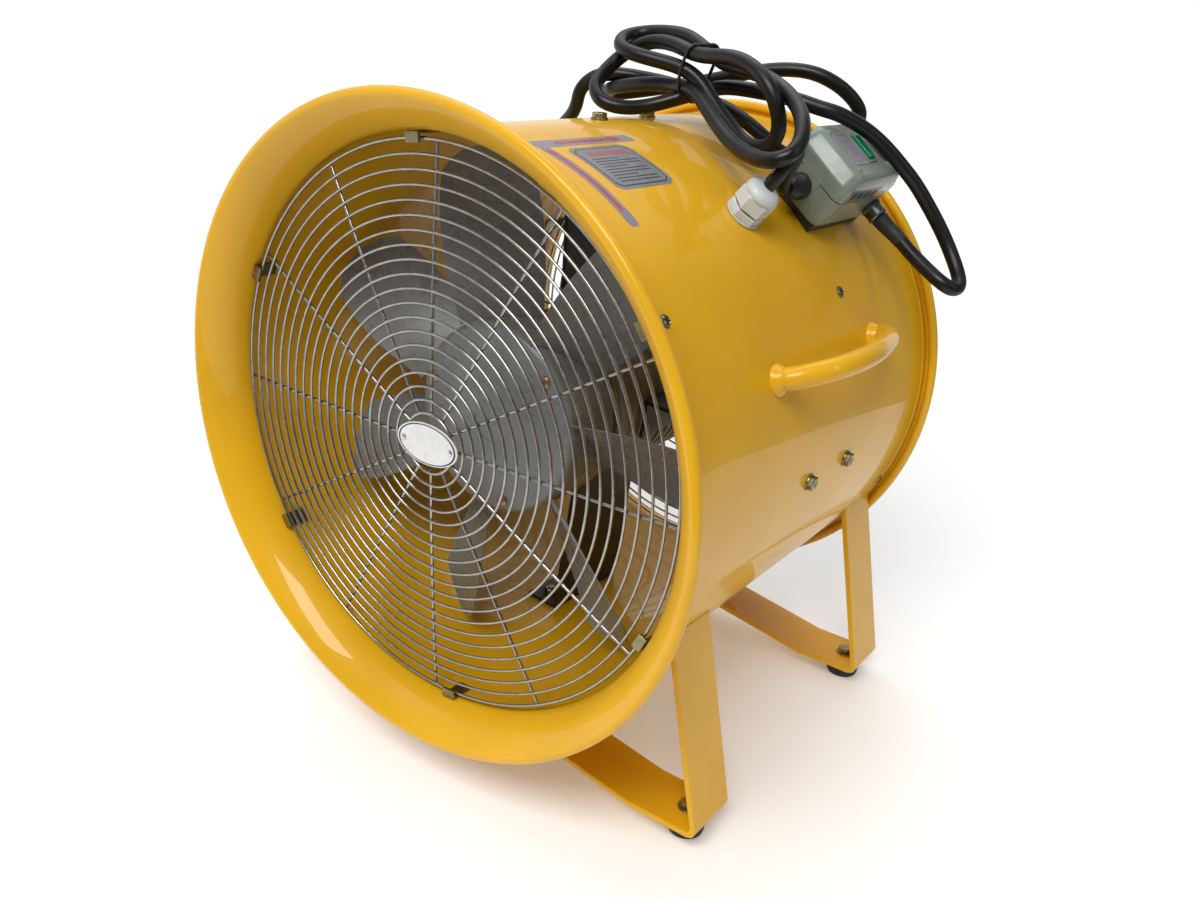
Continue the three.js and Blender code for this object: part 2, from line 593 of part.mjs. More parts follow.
function addMainsCord() {
  addPart(fan, 'mains_cord', tube(CORD_ROUTE, CORD_RADIUS, 8, CORD_STEPS), BLACK_NYLON);
  const r = PLUG_RADIUS;
  const body = lathe([[0, 0], [7, 0], [8.5, 26], [r - 1, 33], [r, 38], [r, 60], [r - 2, 62], [0, 62]], 12);
  const pins = [-9.5, 9.5].map((x) => new THREE.CylinderGeometry(2.4, 2.4, 20, 8).translate(x, 71, 0));
  const plug = addPart(fan, 'mains_plug', joined([body, ...pins]), BLACK_NYLON);
  const [x, y, z] = CORD_ROUTE.at(-1);
  plug.position.set(x, y + GAP, z);
}

addDrum();
addBell();
addRearFlange();
addGuards();
addClips();
addBadge();
addStruts();
addMotor();
addImpeller();
addLegs();
addHandles();
addSwitchBox();
addDrumGland();
addMotorLead();
addMainsCord();

export default product;
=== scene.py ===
"""Looks for the portable axial fan: glossy painted drum, wire guards, impeller, switch box and cords.

Lengths inside the functions are millimetres in the fan's own frame, whose origin is the middle of the
drum's axis; world() turns them into metres in the frame of the CAD model. A spoke frame has x away from
the axis, y along it to the rear and z round it, anticlockwise as seen from the front.
"""

import math

import bmesh
import bpy
from mathutils import Matrix, Vector

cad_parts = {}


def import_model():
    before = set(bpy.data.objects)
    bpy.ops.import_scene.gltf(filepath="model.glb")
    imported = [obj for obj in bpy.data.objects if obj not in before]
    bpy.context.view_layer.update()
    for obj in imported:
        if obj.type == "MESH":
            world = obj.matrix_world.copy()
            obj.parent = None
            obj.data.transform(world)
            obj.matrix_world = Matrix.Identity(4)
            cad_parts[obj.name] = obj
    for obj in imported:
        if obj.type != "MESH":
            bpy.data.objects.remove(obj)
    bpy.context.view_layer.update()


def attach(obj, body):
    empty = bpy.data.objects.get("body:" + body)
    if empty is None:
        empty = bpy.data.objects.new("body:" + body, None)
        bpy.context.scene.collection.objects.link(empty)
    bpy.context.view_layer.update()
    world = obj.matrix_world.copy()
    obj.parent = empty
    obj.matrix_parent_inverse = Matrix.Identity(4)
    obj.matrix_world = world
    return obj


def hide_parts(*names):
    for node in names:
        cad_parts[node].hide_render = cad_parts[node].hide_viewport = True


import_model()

MM = 0.001

# Sizes in millimetres, angles in degrees.
AXIS_HEIGHT = 281
DRUM_RADIUS = 212
SHEET = 2
DRUM_FRONT = -176
DRUM_REAR = 212.2
BELL_ARC = 42.3
BELL_SWEEP = 58.5
BEAD_RADIUS = 4.2
FLANGE_RADIUS = 223.2
FLANGE_REAR = 212.4
RIM_TUBE = 3.6
GAP = 0.3
SMOOTH = 192

GUARD_RADIUS = 205
GUARD_RINGS = 20
INNER_RING = 22.4
GUARD_DOME = 6
FRONT_GUARD_Y = -180.5
REAR_GUARD_Y = 198
RING_WIRE = 1.05
SPOKE_WIRE = 1.2
CLIP_ANGLES = [95, 155, 215, 275, 335, 35]
REAR_CLIP_ANGLES = range(36, 360, 60)
CLIP_SCREW_Y = -168.5
REAR_SCREW_Y = 196.5
SIDE_SCREW = (30, 60.5)
OPEN_HOLE = (73.8, -156)

STRUT_ANGLES = [90, -5.5, -96, 177]
STRUT_BOLTS_Y = [-6, 59]
MOTOR_RADIUS = 70
BLADES = 7
FIRST_BLADE = 48
HUB_RADIUS = 74.5
HUB_SCREW_ANGLES = (41, -79, 161)
BLADE_TIP = 197

STRAP_LOW = -266
FOOT_X = 200
LEG_YS = [-112, 177]

BOX_ANGLE = 50.5
BOX_BASE = 218
BOX_SPLIT = 242
BOX_TOP = 266
BOX_WIDTH = 56
BOX_FRONT = 48
BOX_LENGTH = 94
START_Y = 94
STOP_Y = 126
BUTTON_RISE = 3.4
GLAND_ANGLE = 50.2
GLAND_Y = -18
MAINS_GLAND_Y = 127
CORD_RADIUS = 5.5
LEAD_RADIUS = 4.5
TIE_CENTRE = (48, 48, 252)
BUNDLE_DIRECTION = (1, -0.55, -0.45)


# Places and meshes.
def world(point):
    x, y, z = point
    return Vector((x, y, z + AXIS_HEIGHT)) * MM


def spoke(angle, y=0.0):
    """The spoke frame at an angle in degrees, moved along the axis to y."""
    c, s = math.cos(math.radians(angle)), math.sin(math.radians(angle))
    return Matrix(((c, 0, -s, 0), (0, 1, 0, y), (s, 0, c, 0), (0, 0, 0, 1)))


HERE = Matrix.Identity(4)


def keep(obj, body, materials, nodes=()):
    for m in materials:
        obj.data.materials.append(m)
    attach(obj, body)
    if nodes:
        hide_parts(*nodes)
    return obj


def make_object(name, bm, place=HERE, sharp=35, bevel=0.0, bevel_segments=2):
    """An object from a bmesh drawn in millimetres, with soft shading and an optional edge bevel."""
    bmesh.ops.remove_doubles(bm, verts=bm.verts, dist=1e-4)
    for v in bm.verts:
        v.co = world(place @ v.co)
    bmesh.ops.recalc_face_normals(bm, faces=bm.faces)
    mesh = bpy.data.meshes.new(name)
    bm.to_mesh(mesh)
    bm.free()
    mesh.shade_smooth()
    mesh.set_sharp_from_angle(angle=math.radians(sharp))
    obj = bpy.data.objects.new(name, mesh)
    bpy.context.scene.collection.objects.link(obj)
    if bevel:
        mod = obj.modifiers.new("edge", "BEVEL")
        mod.width = bevel * MM
        mod.segments = bevel_segments
        mod.limit_method = "ANGLE"
        mod.angle_limit = math.radians(34)
        mod.harden_normals = False
        obj.modifiers.new("shade", "WEIGHTED_NORMAL").keep_sharp = False
    return obj


def add_lathe(bm, profile, segments, place=HERE, material=0, closed=False):
    """Turns a profile of (radius, y) points about the local y axis and adds it to the bmesh."""
    rings = []
    for r, y in profile:
        ring = []
        for i in range(segments if r > 1e-6 else 1):
            a = 2 * math.pi * i / segments
            ring.append(bm.verts.new(place @ Vector((r * math.cos(a), y, r * math.sin(a)))))
        rings.append(ring)
    pairs = list(zip(rings, rings[1:]))
    if closed:
        pairs.append((rings[-1], rings[0]))
    for low, high in pairs:
        for i in range(segments):
            j = (i + 1) % segments
            if len(low) == 1 and len(high) == 1:
                continue
            if len(low) == 1:
                face = bm.faces.new((low[0], high[j], high[i]))
            elif len(high) == 1:
                face = bm.faces.new((low[i], low[j], high[0]))
            else:
                face = bm.faces.new((low[i], low[j], high[j], high[i]))
            face.material_index = material


def add_prism(bm, outline, low, high, place=HERE, material=0):
    """Extrudes an outline of (x, z) points along the local y axis from low to high."""
    front = [bm.verts.new(place @ Vector((x, low, z))) for x, z in outline]
    back = [bm.verts.new(place @ Vector((x, high, z))) for x, z in outline]
    faces = [bm.faces.new(front), bm.faces.new(list(reversed(back)))]
    for i in range(len(outline)):
        j = (i + 1) % len(outline)
        faces.append(bm.faces.new((front[i], back[i], back[j], front[j])))
    for face in faces:
        face.material_index = material


def arc(cx, cy, radius, start, end, steps):
    angles = [math.radians(start + (end - start) * i / steps) for i in range(steps + 1)]
    return [(cx + radius * math.cos(a), cy + radius * math.sin(a)) for a in angles]


def upright(place=HERE):
    """Turns the local y axis to point away from the fan's axis, along the spoke frame's x."""
    return place @ Matrix.Rotation(math.radians(-90), 4, "Z")


def refined(node, materials, bevel, segments=2):
    """A fixed CAD node's own shape with its flat facets merged and its edges rounded."""
    bm = bmesh.new()
    bm.from_mesh(bpy.data.objects[node].data)
    bmesh.ops.remove_doubles(bm, verts=bm.verts, dist=1e-6)
    edges, verts = list(bm.edges), list(bm.verts)
    bmesh.ops.dissolve_limit(bm, angle_limit=math.radians(1.5), verts=verts, edges=edges)
    for v in bm.verts:
        v.co = v.co / MM - Vector((0, 0, AXIS_HEIGHT))
    obj = make_object(node + "_look", bm, bevel=bevel, bevel_segments=segments)
    return keep(obj, "frame_body", materials, (node,))


def smooth_path(points, per_span):
    """A centripetal Catmull-Rom curve through the points, as three.js draws it by default."""
    pts = [Vector(p) for p in points]
    pts = [2 * pts[0] - pts[1]] + pts + [2 * pts[-1] - pts[-2]]
    out = []
    for p0, p1, p2, p3 in zip(pts, pts[1:], pts[2:], pts[3:]):
        d01, d12, d23 = (max((b - a).length ** 0.5, 1e-6) for a, b in ((p0, p1), (p1, p2), (p2, p3)))
        t1 = ((p1 - p0) / d01 - (p2 - p0) / (d01 + d12) + (p2 - p1) / d12) * d12
        t2 = ((p2 - p1) / d12 - (p3 - p1) / (d12 + d23) + (p3 - p2) / d23) * d12
        for i in range(per_span):
            t = i / per_span
            a = 2 * p1 - 2 * p2 + t1 + t2
            b = -3 * p1 + 3 * p2 - 2 * t1 - t2
            out.append(((a * t + b) * t + t1) * t + p1)
    out.append(pts[-2])
    return out


def eased(points, rounds=8):
    """The same path with its sharpest bends relaxed; the ends stay where they are."""
    for _ in range(rounds):
        inner = [(a + 2 * b + c) / 4 for a, b, c in zip(points, points[1:], points[2:])]
        points = [points[0], *inner, points[-1]]
    return points


def curve_piece(name, points, radius, resolution=6, tip=1.0):
    """A round tube through points in metres in the CAD frame; tip is its far end's share of the radius."""
    data = bpy.data.curves.new(name, "CURVE")
    data.dimensions = "3D"
    data.bevel_depth = radius
    data.bevel_resolution = resolution
    data.use_fill_caps = True
    spline = data.splines.new("POLY")
    spline.points.add(len(points) - 1)
    for i, p in enumerate(points):
        spline.points[i].co = (*p, 1)
        spline.points[i].radius = 1 + (tip - 1) * i / (len(points) - 1)
    spline.use_smooth = True
    obj = bpy.data.objects.new(name, data)
    bpy.context.scene.collection.objects.link(obj)
    return obj


# Materials: every one is a Principled shader with procedural variation at the real scale.
class Look:
    """A Principled material with its node tree, and short calls for the usual variation."""

    def __init__(self, name, roughness, metallic=0.0):
        self.material = bpy.data.materials.new(name)
        self.material.use_nodes = True
        self.tree = self.material.node_tree
        self.shader = self.tree.nodes["Principled BSDF"]
        self.shader.inputs["Roughness"].default_value = roughness
        self.shader.inputs["Metallic"].default_value = metallic
        coords = self.node("ShaderNodeTexCoord")
        self.place = coords.outputs["Object"]

    def node(self, kind):
        return self.tree.nodes.new(kind)

    def link(self, a, b):
        self.tree.links.new(a, b)

    def noise(self, scale, detail, stretch):
        mapping = self.node("ShaderNodeMapping")
        mapping.inputs["Scale"].default_value = stretch
        self.link(self.place, mapping.inputs["Vector"])
        noise = self.node("ShaderNodeTexNoise")
        noise.inputs["Scale"].default_value = scale
        noise.inputs["Detail"].default_value = detail
        self.link(mapping.outputs["Vector"], noise.inputs["Vector"])
        return noise.outputs["Fac"]

    def ramp(self, factor, low, high):
        ramp = self.node("ShaderNodeValToRGB")
        ramp.color_ramp.elements[0].position = 0.35
        ramp.color_ramp.elements[1].position = 0.65
        ramp.color_ramp.elements[0].color = low
        ramp.color_ramp.elements[1].color = high
        self.link(factor, ramp.inputs["Fac"])
        return ramp.outputs["Color"]

    def colour(self, rgb, spread, scale, stretch=(1, 1, 1)):
        low = [c * (1 - spread) for c in rgb] + [1]
        high = [min(1, c * (1 + spread)) for c in rgb] + [1]
        self.link(self.ramp(self.noise(scale, 3.0, stretch), low, high), self.shader.inputs["Base Color"])
        return self

    def rough(self, low, high, scale, stretch=(1, 1, 1)):
        span = self.node("ShaderNodeMapRange")
        span.inputs["To Min"].default_value = low
        span.inputs["To Max"].default_value = high
        span.inputs["From Min"].default_value = 0.3
        span.inputs["From Max"].default_value = 0.7
        self.link(self.noise(scale, 3.0, stretch), span.inputs["Value"])
        self.link(span.outputs["Result"], self.shader.inputs["Roughness"])
        return self

    def bump(self, scale, height, strength, stretch=(1, 1, 1)):
        bump = self.node("ShaderNodeBump")
        bump.inputs["Strength"].default_value = strength
        bump.inputs["Distance"].default_value = height * MM
        self.link(self.noise(scale, 2.0, stretch), bump.inputs["Height"])
        self.link(bump.outputs["Normal"], self.shader.inputs["Normal"])
        return self

    def coat(self, weight, roughness):
        self.shader.inputs["Coat Weight"].default_value = weight
        self.shader.inputs["Coat Roughness"].default_value = roughness
        return self


def gloss_paint(name, rgb, roughness):
    look = Look(name, roughness)
    look.colour(rgb, 0.05, 9.0).rough(roughness - 0.05, roughness + 0.06, 14.0)
    look.shader.inputs["Specular IOR Level"].default_value = 0.15
    return look.bump(95.0, 0.05, 0.25).coat(0.45, 0.03).material


def plated(name, rgb, low, high):
    look = Look(name, low, 1.0)
    look.colour(rgb, 0.12, 160.0).rough(low, high, 220.0)
    return look.bump(600.0, 0.02, 0.4).material


def brushed(name, rgb, low, high, stretch):
    look = Look(name, low, 1.0)
    look.colour(rgb, 0.1, 90.0, stretch).rough(low, high, 150.0, stretch)
    return look.bump(700.0, 0.02, 0.4, stretch).material


def moulded(name, rgb, low, high, grain=0.03):
    look = Look(name, low)
    look.colour(rgb, 0.07, 45.0).rough(low, high, 110.0)
    return look.bump(900.0, grain, 0.5).material


def satin_paint(name, rgb, low, high):
    look = Look(name, low)
    look.colour(rgb, 0.1, 25.0).rough(low, high, 70.0)
    return look.bump(420.0, 0.06, 0.5).material


def sheathing(name, rgb):
    look = Look(name, 0.4)
    look.colour(rgb, 0.25, 35.0).rough(0.3, 0.48, 60.0)
    look.shader.inputs["Specular IOR Level"].default_value = 0.35
    return look.bump(260.0, 0.08, 0.5).material


def plain_colour(name, rgb, roughness=0.3):
    look = Look(name, roughness)
    return look.colour(rgb, 0.05, 120.0).rough(roughness - 0.06, roughness + 0.08, 200.0).material


YELLOW = gloss_paint("yellow_gloss", (0.72, 0.385, 0.008), 0.42)
ZINC = plated("bright_zinc", (0.36, 0.36, 0.35), 0.16, 0.28)
CHROMATE = plated("yellow_chromate", (0.27, 0.235, 0.13), 0.22, 0.42)
COPPER = plated("copper_screw", (0.36, 0.22, 0.14), 0.25, 0.42)
DULL_STEEL = plated("dull_steel", (0.15, 0.155, 0.155), 0.28, 0.42)
STEEL = brushed("turned_steel", (0.62, 0.62, 0.62), 0.2, 0.4, (1, 14, 1))
MOTOR_GREY = satin_paint("motor_grey", (0.22, 0.23, 0.23), 0.35, 0.5)
BLADE_GREY = satin_paint("blade_grey", (0.165, 0.175, 0.175), 0.22, 0.34)
BLACK_PAINT = satin_paint("black_satin", (0.014, 0.014, 0.014), 0.32, 0.5)
LAMINATION = brushed("lamination_edges", (0.2, 0.2, 0.21), 0.4, 0.6, (1, 60, 1))
RUBBER = moulded("black_rubber", (0.014, 0.014, 0.014), 0.55, 0.75, 0.08)
WHITE_NYLON = moulded("white_nylon", (0.52, 0.56, 0.55), 0.32, 0.45)
BLACK_NYLON = moulded("black_nylon", (0.012, 0.012, 0.013), 0.32, 0.5)
BOX_GREEN = moulded("grey_green_plastic", (0.19, 0.235, 0.19), 0.16, 0.28, 0.02)
GREEN = moulded("green_plastic", (0.0, 0.15, 0.055), 0.22, 0.32)
RED = moulded("red_plastic", (0.5, 0.03, 0.03), 0.22, 0.32)
SHEATH = sheathing("cord_sheath", (0.004, 0.004, 0.0045))
LABEL = plain_colour("label_grey", (0.22, 0.205, 0.25))
LABEL_RED = plain_colour("label_red", (0.42, 0.035, 0.035))
LABEL_DARK = plain_colour("label_dark", (0.03, 0.03, 0.035))
PLATE_GREY = plain_colour("plate_grey", (0.19, 0.195, 0.21), 0.22)
BADGE_WHITE = plain_colour("badge_white", (0.7, 0.7, 0.68), 0.25)
# Near-black. It is painted shade in the screw crosses and sockets, the open hole, the lid's seam, the gland's
# neck and the button wells. It is print on the side label, and it colours a thin ring on the badge.
SHADE_AND_PRINT_DARK = plain_colour("painted_shade_and_print", (0.008, 0.008, 0.008), 0.6)


# Camera.
def add_camera():
    """The photo's camera, as fitted to the fan's circles: its direction, roll, lens, shift and place."""
    az, el, roll = math.radians(35.1), math.radians(24.2), math.radians(3.9)
    back = Vector((math.sin(az) * math.cos(el), -math.cos(az) * math.cos(el), math.sin(el)))
    level = Vector((math.cos(az), math.sin(az), 0))
    upward = back.cross(level)
    right = math.cos(roll) * level + math.sin(roll) * upward
    up = -math.sin(roll) * level + math.cos(roll) * upward
    data = bpy.data.cameras.new("camera")
    data.lens = 31.5
    data.sensor_width = 36
    data.shift_x = 0.0106
    data.shift_y = 0.0372
    data.clip_start = 0.01
    camera = bpy.data.objects.new("camera", data)
    place = Matrix((right, up, back)).transposed().to_4x4()
    place.translation = Vector((0.4892, -0.6844, 0.5595))
    camera.matrix_world = place
    bpy.context.scene.collection.objects.link(camera)
    bpy.context.scene.camera = camera


# Cords. The mains cord's route repeats the CAD model's, in metres from the middle of the drum's axis.
CORD_ROUTE = [
    (0.1794, 0.127, 0.1527), (0.1849, 0.127, 0.1482), (0.1966, 0.1255, 0.1414), (0.2117, 0.1215, 0.1311),
    (0.2288, 0.117, 0.1216), (0.2395, 0.1142, 0.1163), (0.2468, 0.1173, 0.1122), (0.2498, 0.1245, 0.111),
    (0.2486, 0.133, 0.1142), (0.2422, 0.14, 0.1226), (0.2314, 0.144, 0.1373), (0.2221, 0.143, 0.1509),
    (0.2121, 0.1385, 0.1655), (0.2013, 0.13, 0.182), (0.1919, 0.121, 0.194), (0.1792, 0.1145, 0.2068),
    (0.1668, 0.104, 0.2178), (0.1554, 0.086, 0.2266), (0.1484, 0.08, 0.2294), (0.1384, 0.076, 0.2315),
    (0.1259, 0.072, 0.2347), (0.1119, 0.069, 0.2372), (0.0983, 0.066, 0.2386), (0.08, 0.063, 0.24),
    (0.063, 0.06, 0.2395), (0.04, 0.054, 0.232), (0.014, 0.038, 0.222), (-0.001, 0.022, 0.22),
    (-0.016, 0.016, 0.224), (-0.028, 0.024, 0.234), (-0.027, 0.043, 0.249), (-0.017, 0.054, 0.261),
    (0.002, 0.056, 0.268), (0.026, 0.05, 0.267), (0.047, 0.042, 0.262), (0.067, 0.034, 0.261),
    (0.089, 0.027, 0.262), (0.11, 0.021, 0.257), (0.128, 0.015, 0.245), (0.136, 0.017, 0.229),
    (0.136, 0.021, 0.216), (0.128, 0.024, 0.205), (0.109, 0.028, 0.204), (0.089, 0.034, 0.216),
    (0.069, 0.04, 0.231), (0.054, 0.043, 0.244), (0.04, 0.042, 0.251), (0.02, 0.038, 0.255),
    (0.002, 0.034, 0.258), (-0.014, 0.036, 0.262), (-0.024, 0.052, 0.269), (-0.018, 0.068, 0.273),
    (0.005, 0.07, 0.275), (0.029, 0.064, 0.273), (0.05, 0.055, 0.265), (0.072, 0.049, 0.256),
    (0.1, 0.041, 0.253), (0.124, 0.033, 0.247), (0.145, 0.02, 0.238), (0.161, 0.004, 0.228),
    (0.169, -0.01, 0.216), (0.169, -0.023, 0.207), (0.158, -0.028, 0.202), (0.138, -0.018, 0.202),
    (0.11, 0, 0.208), (0.083, 0.017, 0.222), (0.055, 0.037, 0.237), (0.027, 0.054, 0.238),
    (-0.003, 0.062, 0.237), (-0.032, 0.068, 0.233), (-0.055, 0.08, 0.228), (-0.064, 0.097, 0.224),
    (-0.051, 0.107, 0.226), (-0.031, 0.111, 0.23), (-0.006, 0.114, 0.235), (0.024, 0.117, 0.242),
    (0.061, 0.122, 0.251), (0.083, 0.128, 0.254), (0.104, 0.134, 0.253), (0.122, 0.143, 0.245),
    (0.133, 0.153, 0.234), (0.137, 0.16, 0.223), (0.125, 0.167, 0.204), (0.117, 0.163, 0.194),
    (0.111, 0.148, 0.189), (0.109, 0.128, 0.189), (0.107, 0.11, 0.191), (0.102, 0.096, 0.195),
    (0.09, 0.088, 0.206), (0.058, 0.09, 0.222), (0.027, 0.092, 0.229), (0.007, 0.089, 0.236),
    (-0.02, 0.087, 0.239), (-0.045, 0.08, 0.241), (-0.063, 0.071, 0.238), (-0.074, 0.066, 0.226),
    (-0.076, 0.066, 0.215), (-0.086, 0.07, 0.203), (-0.116, 0.082, 0.185), (-0.152, 0.102, 0.157),
    (-0.185, 0.122, 0.116), (-0.209, 0.13, 0.064), (-0.219, 0.131, 0), (-0.219, 0.131, -0.06),
    (-0.219, 0.131, -0.12), (-0.218, 0.131, -0.18), (-0.215, 0.129, -0.23), (-0.206, 0.121, -0.262),
    (-0.186, 0.107, -0.2749), (-0.152, 0.086, -0.2752), (-0.13, 0.052, -0.2752), (-0.124, 0.014, -0.2752),
    (-0.136, -0.022, -0.2752), (-0.16, -0.043, -0.2752), (-0.188, -0.046, -0.2752),
    (-0.206, -0.033, -0.273), (-0.2115, -0.014, -0.266), (-0.212, 0.006, -0.2628),
    (-0.212, 0.018, -0.2627),
]


def add_mains_cord():
    points = [world((p[0] / MM, p[1] / MM, p[2] / MM)) for p in eased(smooth_path(CORD_ROUTE, 6))]
    for p in points:
        p.z = max(p.z, CORD_RADIUS * MM)
    cord = curve_piece("mains_cord_look", points, CORD_RADIUS * MM)
    keep(cord, "frame_body", [SHEATH], ("mains_cord",))
    boot = curve_piece("mains_cord_boot", points[:15], 6.7 * MM, tip=0.85)
    keep(boot, "frame_body", [RUBBER])
    plug = add_plug()


def add_plug():
    """A moulded plug with grip ribs and two round pins, lying on the floor at the cord's end."""
    bm = bmesh.new()
    ribs = []
    for k in range(6):
        ribs += [(7.4 + 0.25 * k, 2 + 4 * k), (7.4 + 0.25 * k, 4 + 4 * k), (6.4 + 0.25 * k, 4.6 + 4 * k),
                 (6.4 + 0.25 * k, 5.4 + 4 * k)]
    grip = arc(12, 38, 6, -60, 0, 6)
    add_lathe(bm, [(0, 0), (6.6, 0), *ribs, (9, 28), *grip, (18, 56), *arc(15, 59, 3, 0, 90, 5), (0, 62)], 48)
    end = CORD_ROUTE[-1]
    place = Matrix.Translation((end[0] / MM, end[1] / MM + GAP, end[2] / MM))
    pin = [(0, 61), (2.4, 61), (2.4, 80.4), (1.8, 81), (0, 81)]
    for x in (-9.5, 9.5):
        add_lathe(bm, pin, 20, Matrix.Translation((x, 0, 0)), 1)
    plug = make_object("mains_plug_look", bm, place)
    return keep(plug, "frame_body", [BLACK_NYLON, STEEL], ("mains_plug",))


LEAD_ROUTE = [
    (50.2, 240.2, -18), (50.3, 250, -17.5), (50.8, 259, -14), (51.6, 264.5, -5), (52, 262, 5),
    (51.8, 252, 10), (51.3, 241, 13.5), (51, 233, 17.5), (50.9, 230.7, 21.5), (50.9, 230.6, 25.8),
]


def add_motor_lead():
    points = [spoke(angle) @ Vector((r, y, 0)) for angle, r, y in LEAD_ROUTE]
    lead = curve_piece("motor_lead_look", [world(p) for p in smooth_path(points, 6)], LEAD_RADIUS * MM)
    keep(lead, "frame_body", [SHEATH], ("motor_lead",))


def hull(points):
    """The convex outline around flat points, turning one way."""
    points = sorted(points)
    halves = []
    for run in (points, points[::-1]):
        half = []
        for x, y in run:
            while len(half) > 1:
                (ax, ay), (bx, by) = half[-2:]
                if (bx - ax) * (y - ay) - (by - ay) * (x - ax) > 0:
                    break
                half.pop()
            half.append((x, y))
        halves += half[:-1]
    return halves


def add_tie():
    """The strap that holds the loops together, drawn tight around every pass of the cord."""
    centre = Vector(TIE_CENTRE)
    along = Vector(BUNDLE_DIRECTION).normalized()
    side = along.cross(Vector((0, 0, 1))).normalized()
    up = side.cross(along)
    route = [Vector(p) / MM - centre for p in smooth_path(CORD_ROUTE, 6)]
    edge = []
    for a, b in zip(route, route[1:]):
        near, far = a.dot(along), b.dot(along)
        if near * far > 0 or near == far:
            continue
        hit = a + (b - a) * near / (near - far)
        if hit.length < 34:
            edge += arc(hit.dot(side), hit.dot(up), CORD_RADIUS + 1.1, 0, 345, 23)
    loop = [world(centre + side * u + up * w) for u, w in hull(edge)]
    tie = curve_piece("cord_tie", [*loop, loop[0]], 1.3 * MM, 4)
    keep(tie, "frame_body", [BLACK_NYLON])


# Drum, bell and rear ring.
def add_drum():
    bm = bmesh.new()
    inner = DRUM_RADIUS - SHEET
    rows = [DRUM_FRONT + (DRUM_REAR - DRUM_FRONT) * i / 12 for i in range(13)]
    outside = [(DRUM_RADIUS, y) for y in rows]
    inside = [(inner, y) for y in reversed(rows)]
    add_lathe(bm, outside + inside, SMOOTH, closed=True)
    keep(make_object("drum_look", bm), "frame_body", [YELLOW], ("drum_shell",))


def add_bell():
    centre = DRUM_RADIUS - SHEET + BELL_ARC
    base = DRUM_FRONT - GAP
    lip = arc(centre, base, BELL_ARC - BEAD_RADIUS, 180 + BELL_SWEEP, 180, 1)[0]
    face = arc(centre, base, BELL_ARC, 180, 180 + BELL_SWEEP, 22)
    bead = arc(lip[0], lip[1], BEAD_RADIUS, 190 + BELL_SWEEP, 490, 24)
    back = arc(centre, base, BELL_ARC - SHEET, 173.5 + BELL_SWEEP, 180, 22)
    bm = bmesh.new()
    add_lathe(bm, face + bead + back, SMOOTH, closed=True)
    keep(make_object("bell_look", bm, sharp=50), "frame_body", [YELLOW], ("bell_mouth",))


def add_rear_ring():
    """A flat web behind a rolled rim, with a shadow gap between the rim and the drum."""
    bore = DRUM_RADIUS + 0.1
    rim = arc(FLANGE_RADIUS - RIM_TUBE, FLANGE_REAR - RIM_TUBE - 0.2, RIM_TUBE, 157, 450, 20)
    profile = [(bore, 202.4), (bore + 0.7, 203), (bore + 0.7, 210.2), *rim, (bore, FLANGE_REAR)]
    bm = bmesh.new()
    add_lathe(bm, profile, SMOOTH, closed=True)
    keep(make_object("rear_ring_look", bm), "frame_body", [YELLOW], ("rear_flange",))


# Guards.
def dome(radius):
    """How far a guard bulges out at a radius."""
    return GUARD_DOME * (1 - (radius / GUARD_RADIUS) ** 2)


def add_wire(bm, points, radius, sides=8, closed=False, flat=(0, 1, 0)):
    """A round wire through points that lie close together; flat is across the plane they lie in."""
    pts = [Vector(p) for p in points]
    flat = Vector(flat)
    rings = []
    for i, p in enumerate(pts):
        a = pts[i - 1] if (i or closed) else p
        b = pts[(i + 1) % len(pts)] if (i + 1 < len(pts) or closed) else p
        along = (b - a).normalized()
        side = (flat - along * flat.dot(along)).normalized()
        other = along.cross(side)
        turns = [2 * math.pi * k / sides for k in range(sides)]
        rings.append([bm.verts.new(p + radius * (math.cos(t) * side + math.sin(t) * other)) for t in turns])
    pairs = list(zip(rings, rings[1:])) + ([(rings[-1], rings[0])] if closed else [])
    for low, high in pairs:
        for k in range(sides):
            bm.faces.new((low[k], low[(k + 1) % sides], high[(k + 1) % sides], high[k]))
    if not closed:
        bm.faces.new(rings[0])
        bm.faces.new(list(reversed(rings[-1])))


def add_guard(name, node, y0, facing):
    """Twenty rings on twelve radial wires; facing is -1 where the dome points to the front."""
    bm = bmesh.new()
    pitch = (GUARD_RADIUS - INNER_RING) / (GUARD_RINGS - 1)
    for k in range(GUARD_RINGS):
        r = INNER_RING + k * pitch
        y = y0 + facing * dome(r)
        count = 96 if r < 100 else 160
        ring = [(r * math.cos(2 * math.pi * i / count), y, r * math.sin(2 * math.pi * i / count))
                for i in range(count)]
        wire = RING_WIRE if k not in (0, GUARD_RINGS - 1) else SPOKE_WIRE
        add_wire(bm, ring, wire, closed=True)
    for angle in range(0, 360, 30):
        radii = [INNER_RING - 2 + (GUARD_RADIUS + 2.5 - INNER_RING) * i / 16 for i in range(17)]
        lift = RING_WIRE + SPOKE_WIRE - 0.35
        run = [spoke(angle) @ Vector((r, y0 + facing * (dome(r) - lift), 0)) for r in radii]
        add_wire(bm, run, SPOKE_WIRE, 10)
    keep(make_object(name, bm, sharp=60), "frame_body", [ZINC], (node,))


# Small fastenings.
def add_hex_bolt(bm, place):
    """A washer and a chamfered hex head standing on the drum, drawn along the local y axis."""
    add_lathe(bm, [(0, 0), (6.5, 0), (6.7, 0.3), (6.5, 1.4), (0, 1.4)], 32, place)
    head = [(0, 1.4), (5.75, 1.4), (5.75, 4.5), (5.1, 5.2), (0, 5.2)]
    add_lathe(bm, head, 6, place)
    add_lathe(bm, [(0, 5.2), (3.1, 5.2), (3.0, 5.0), (0, 5.0)], 24, place)


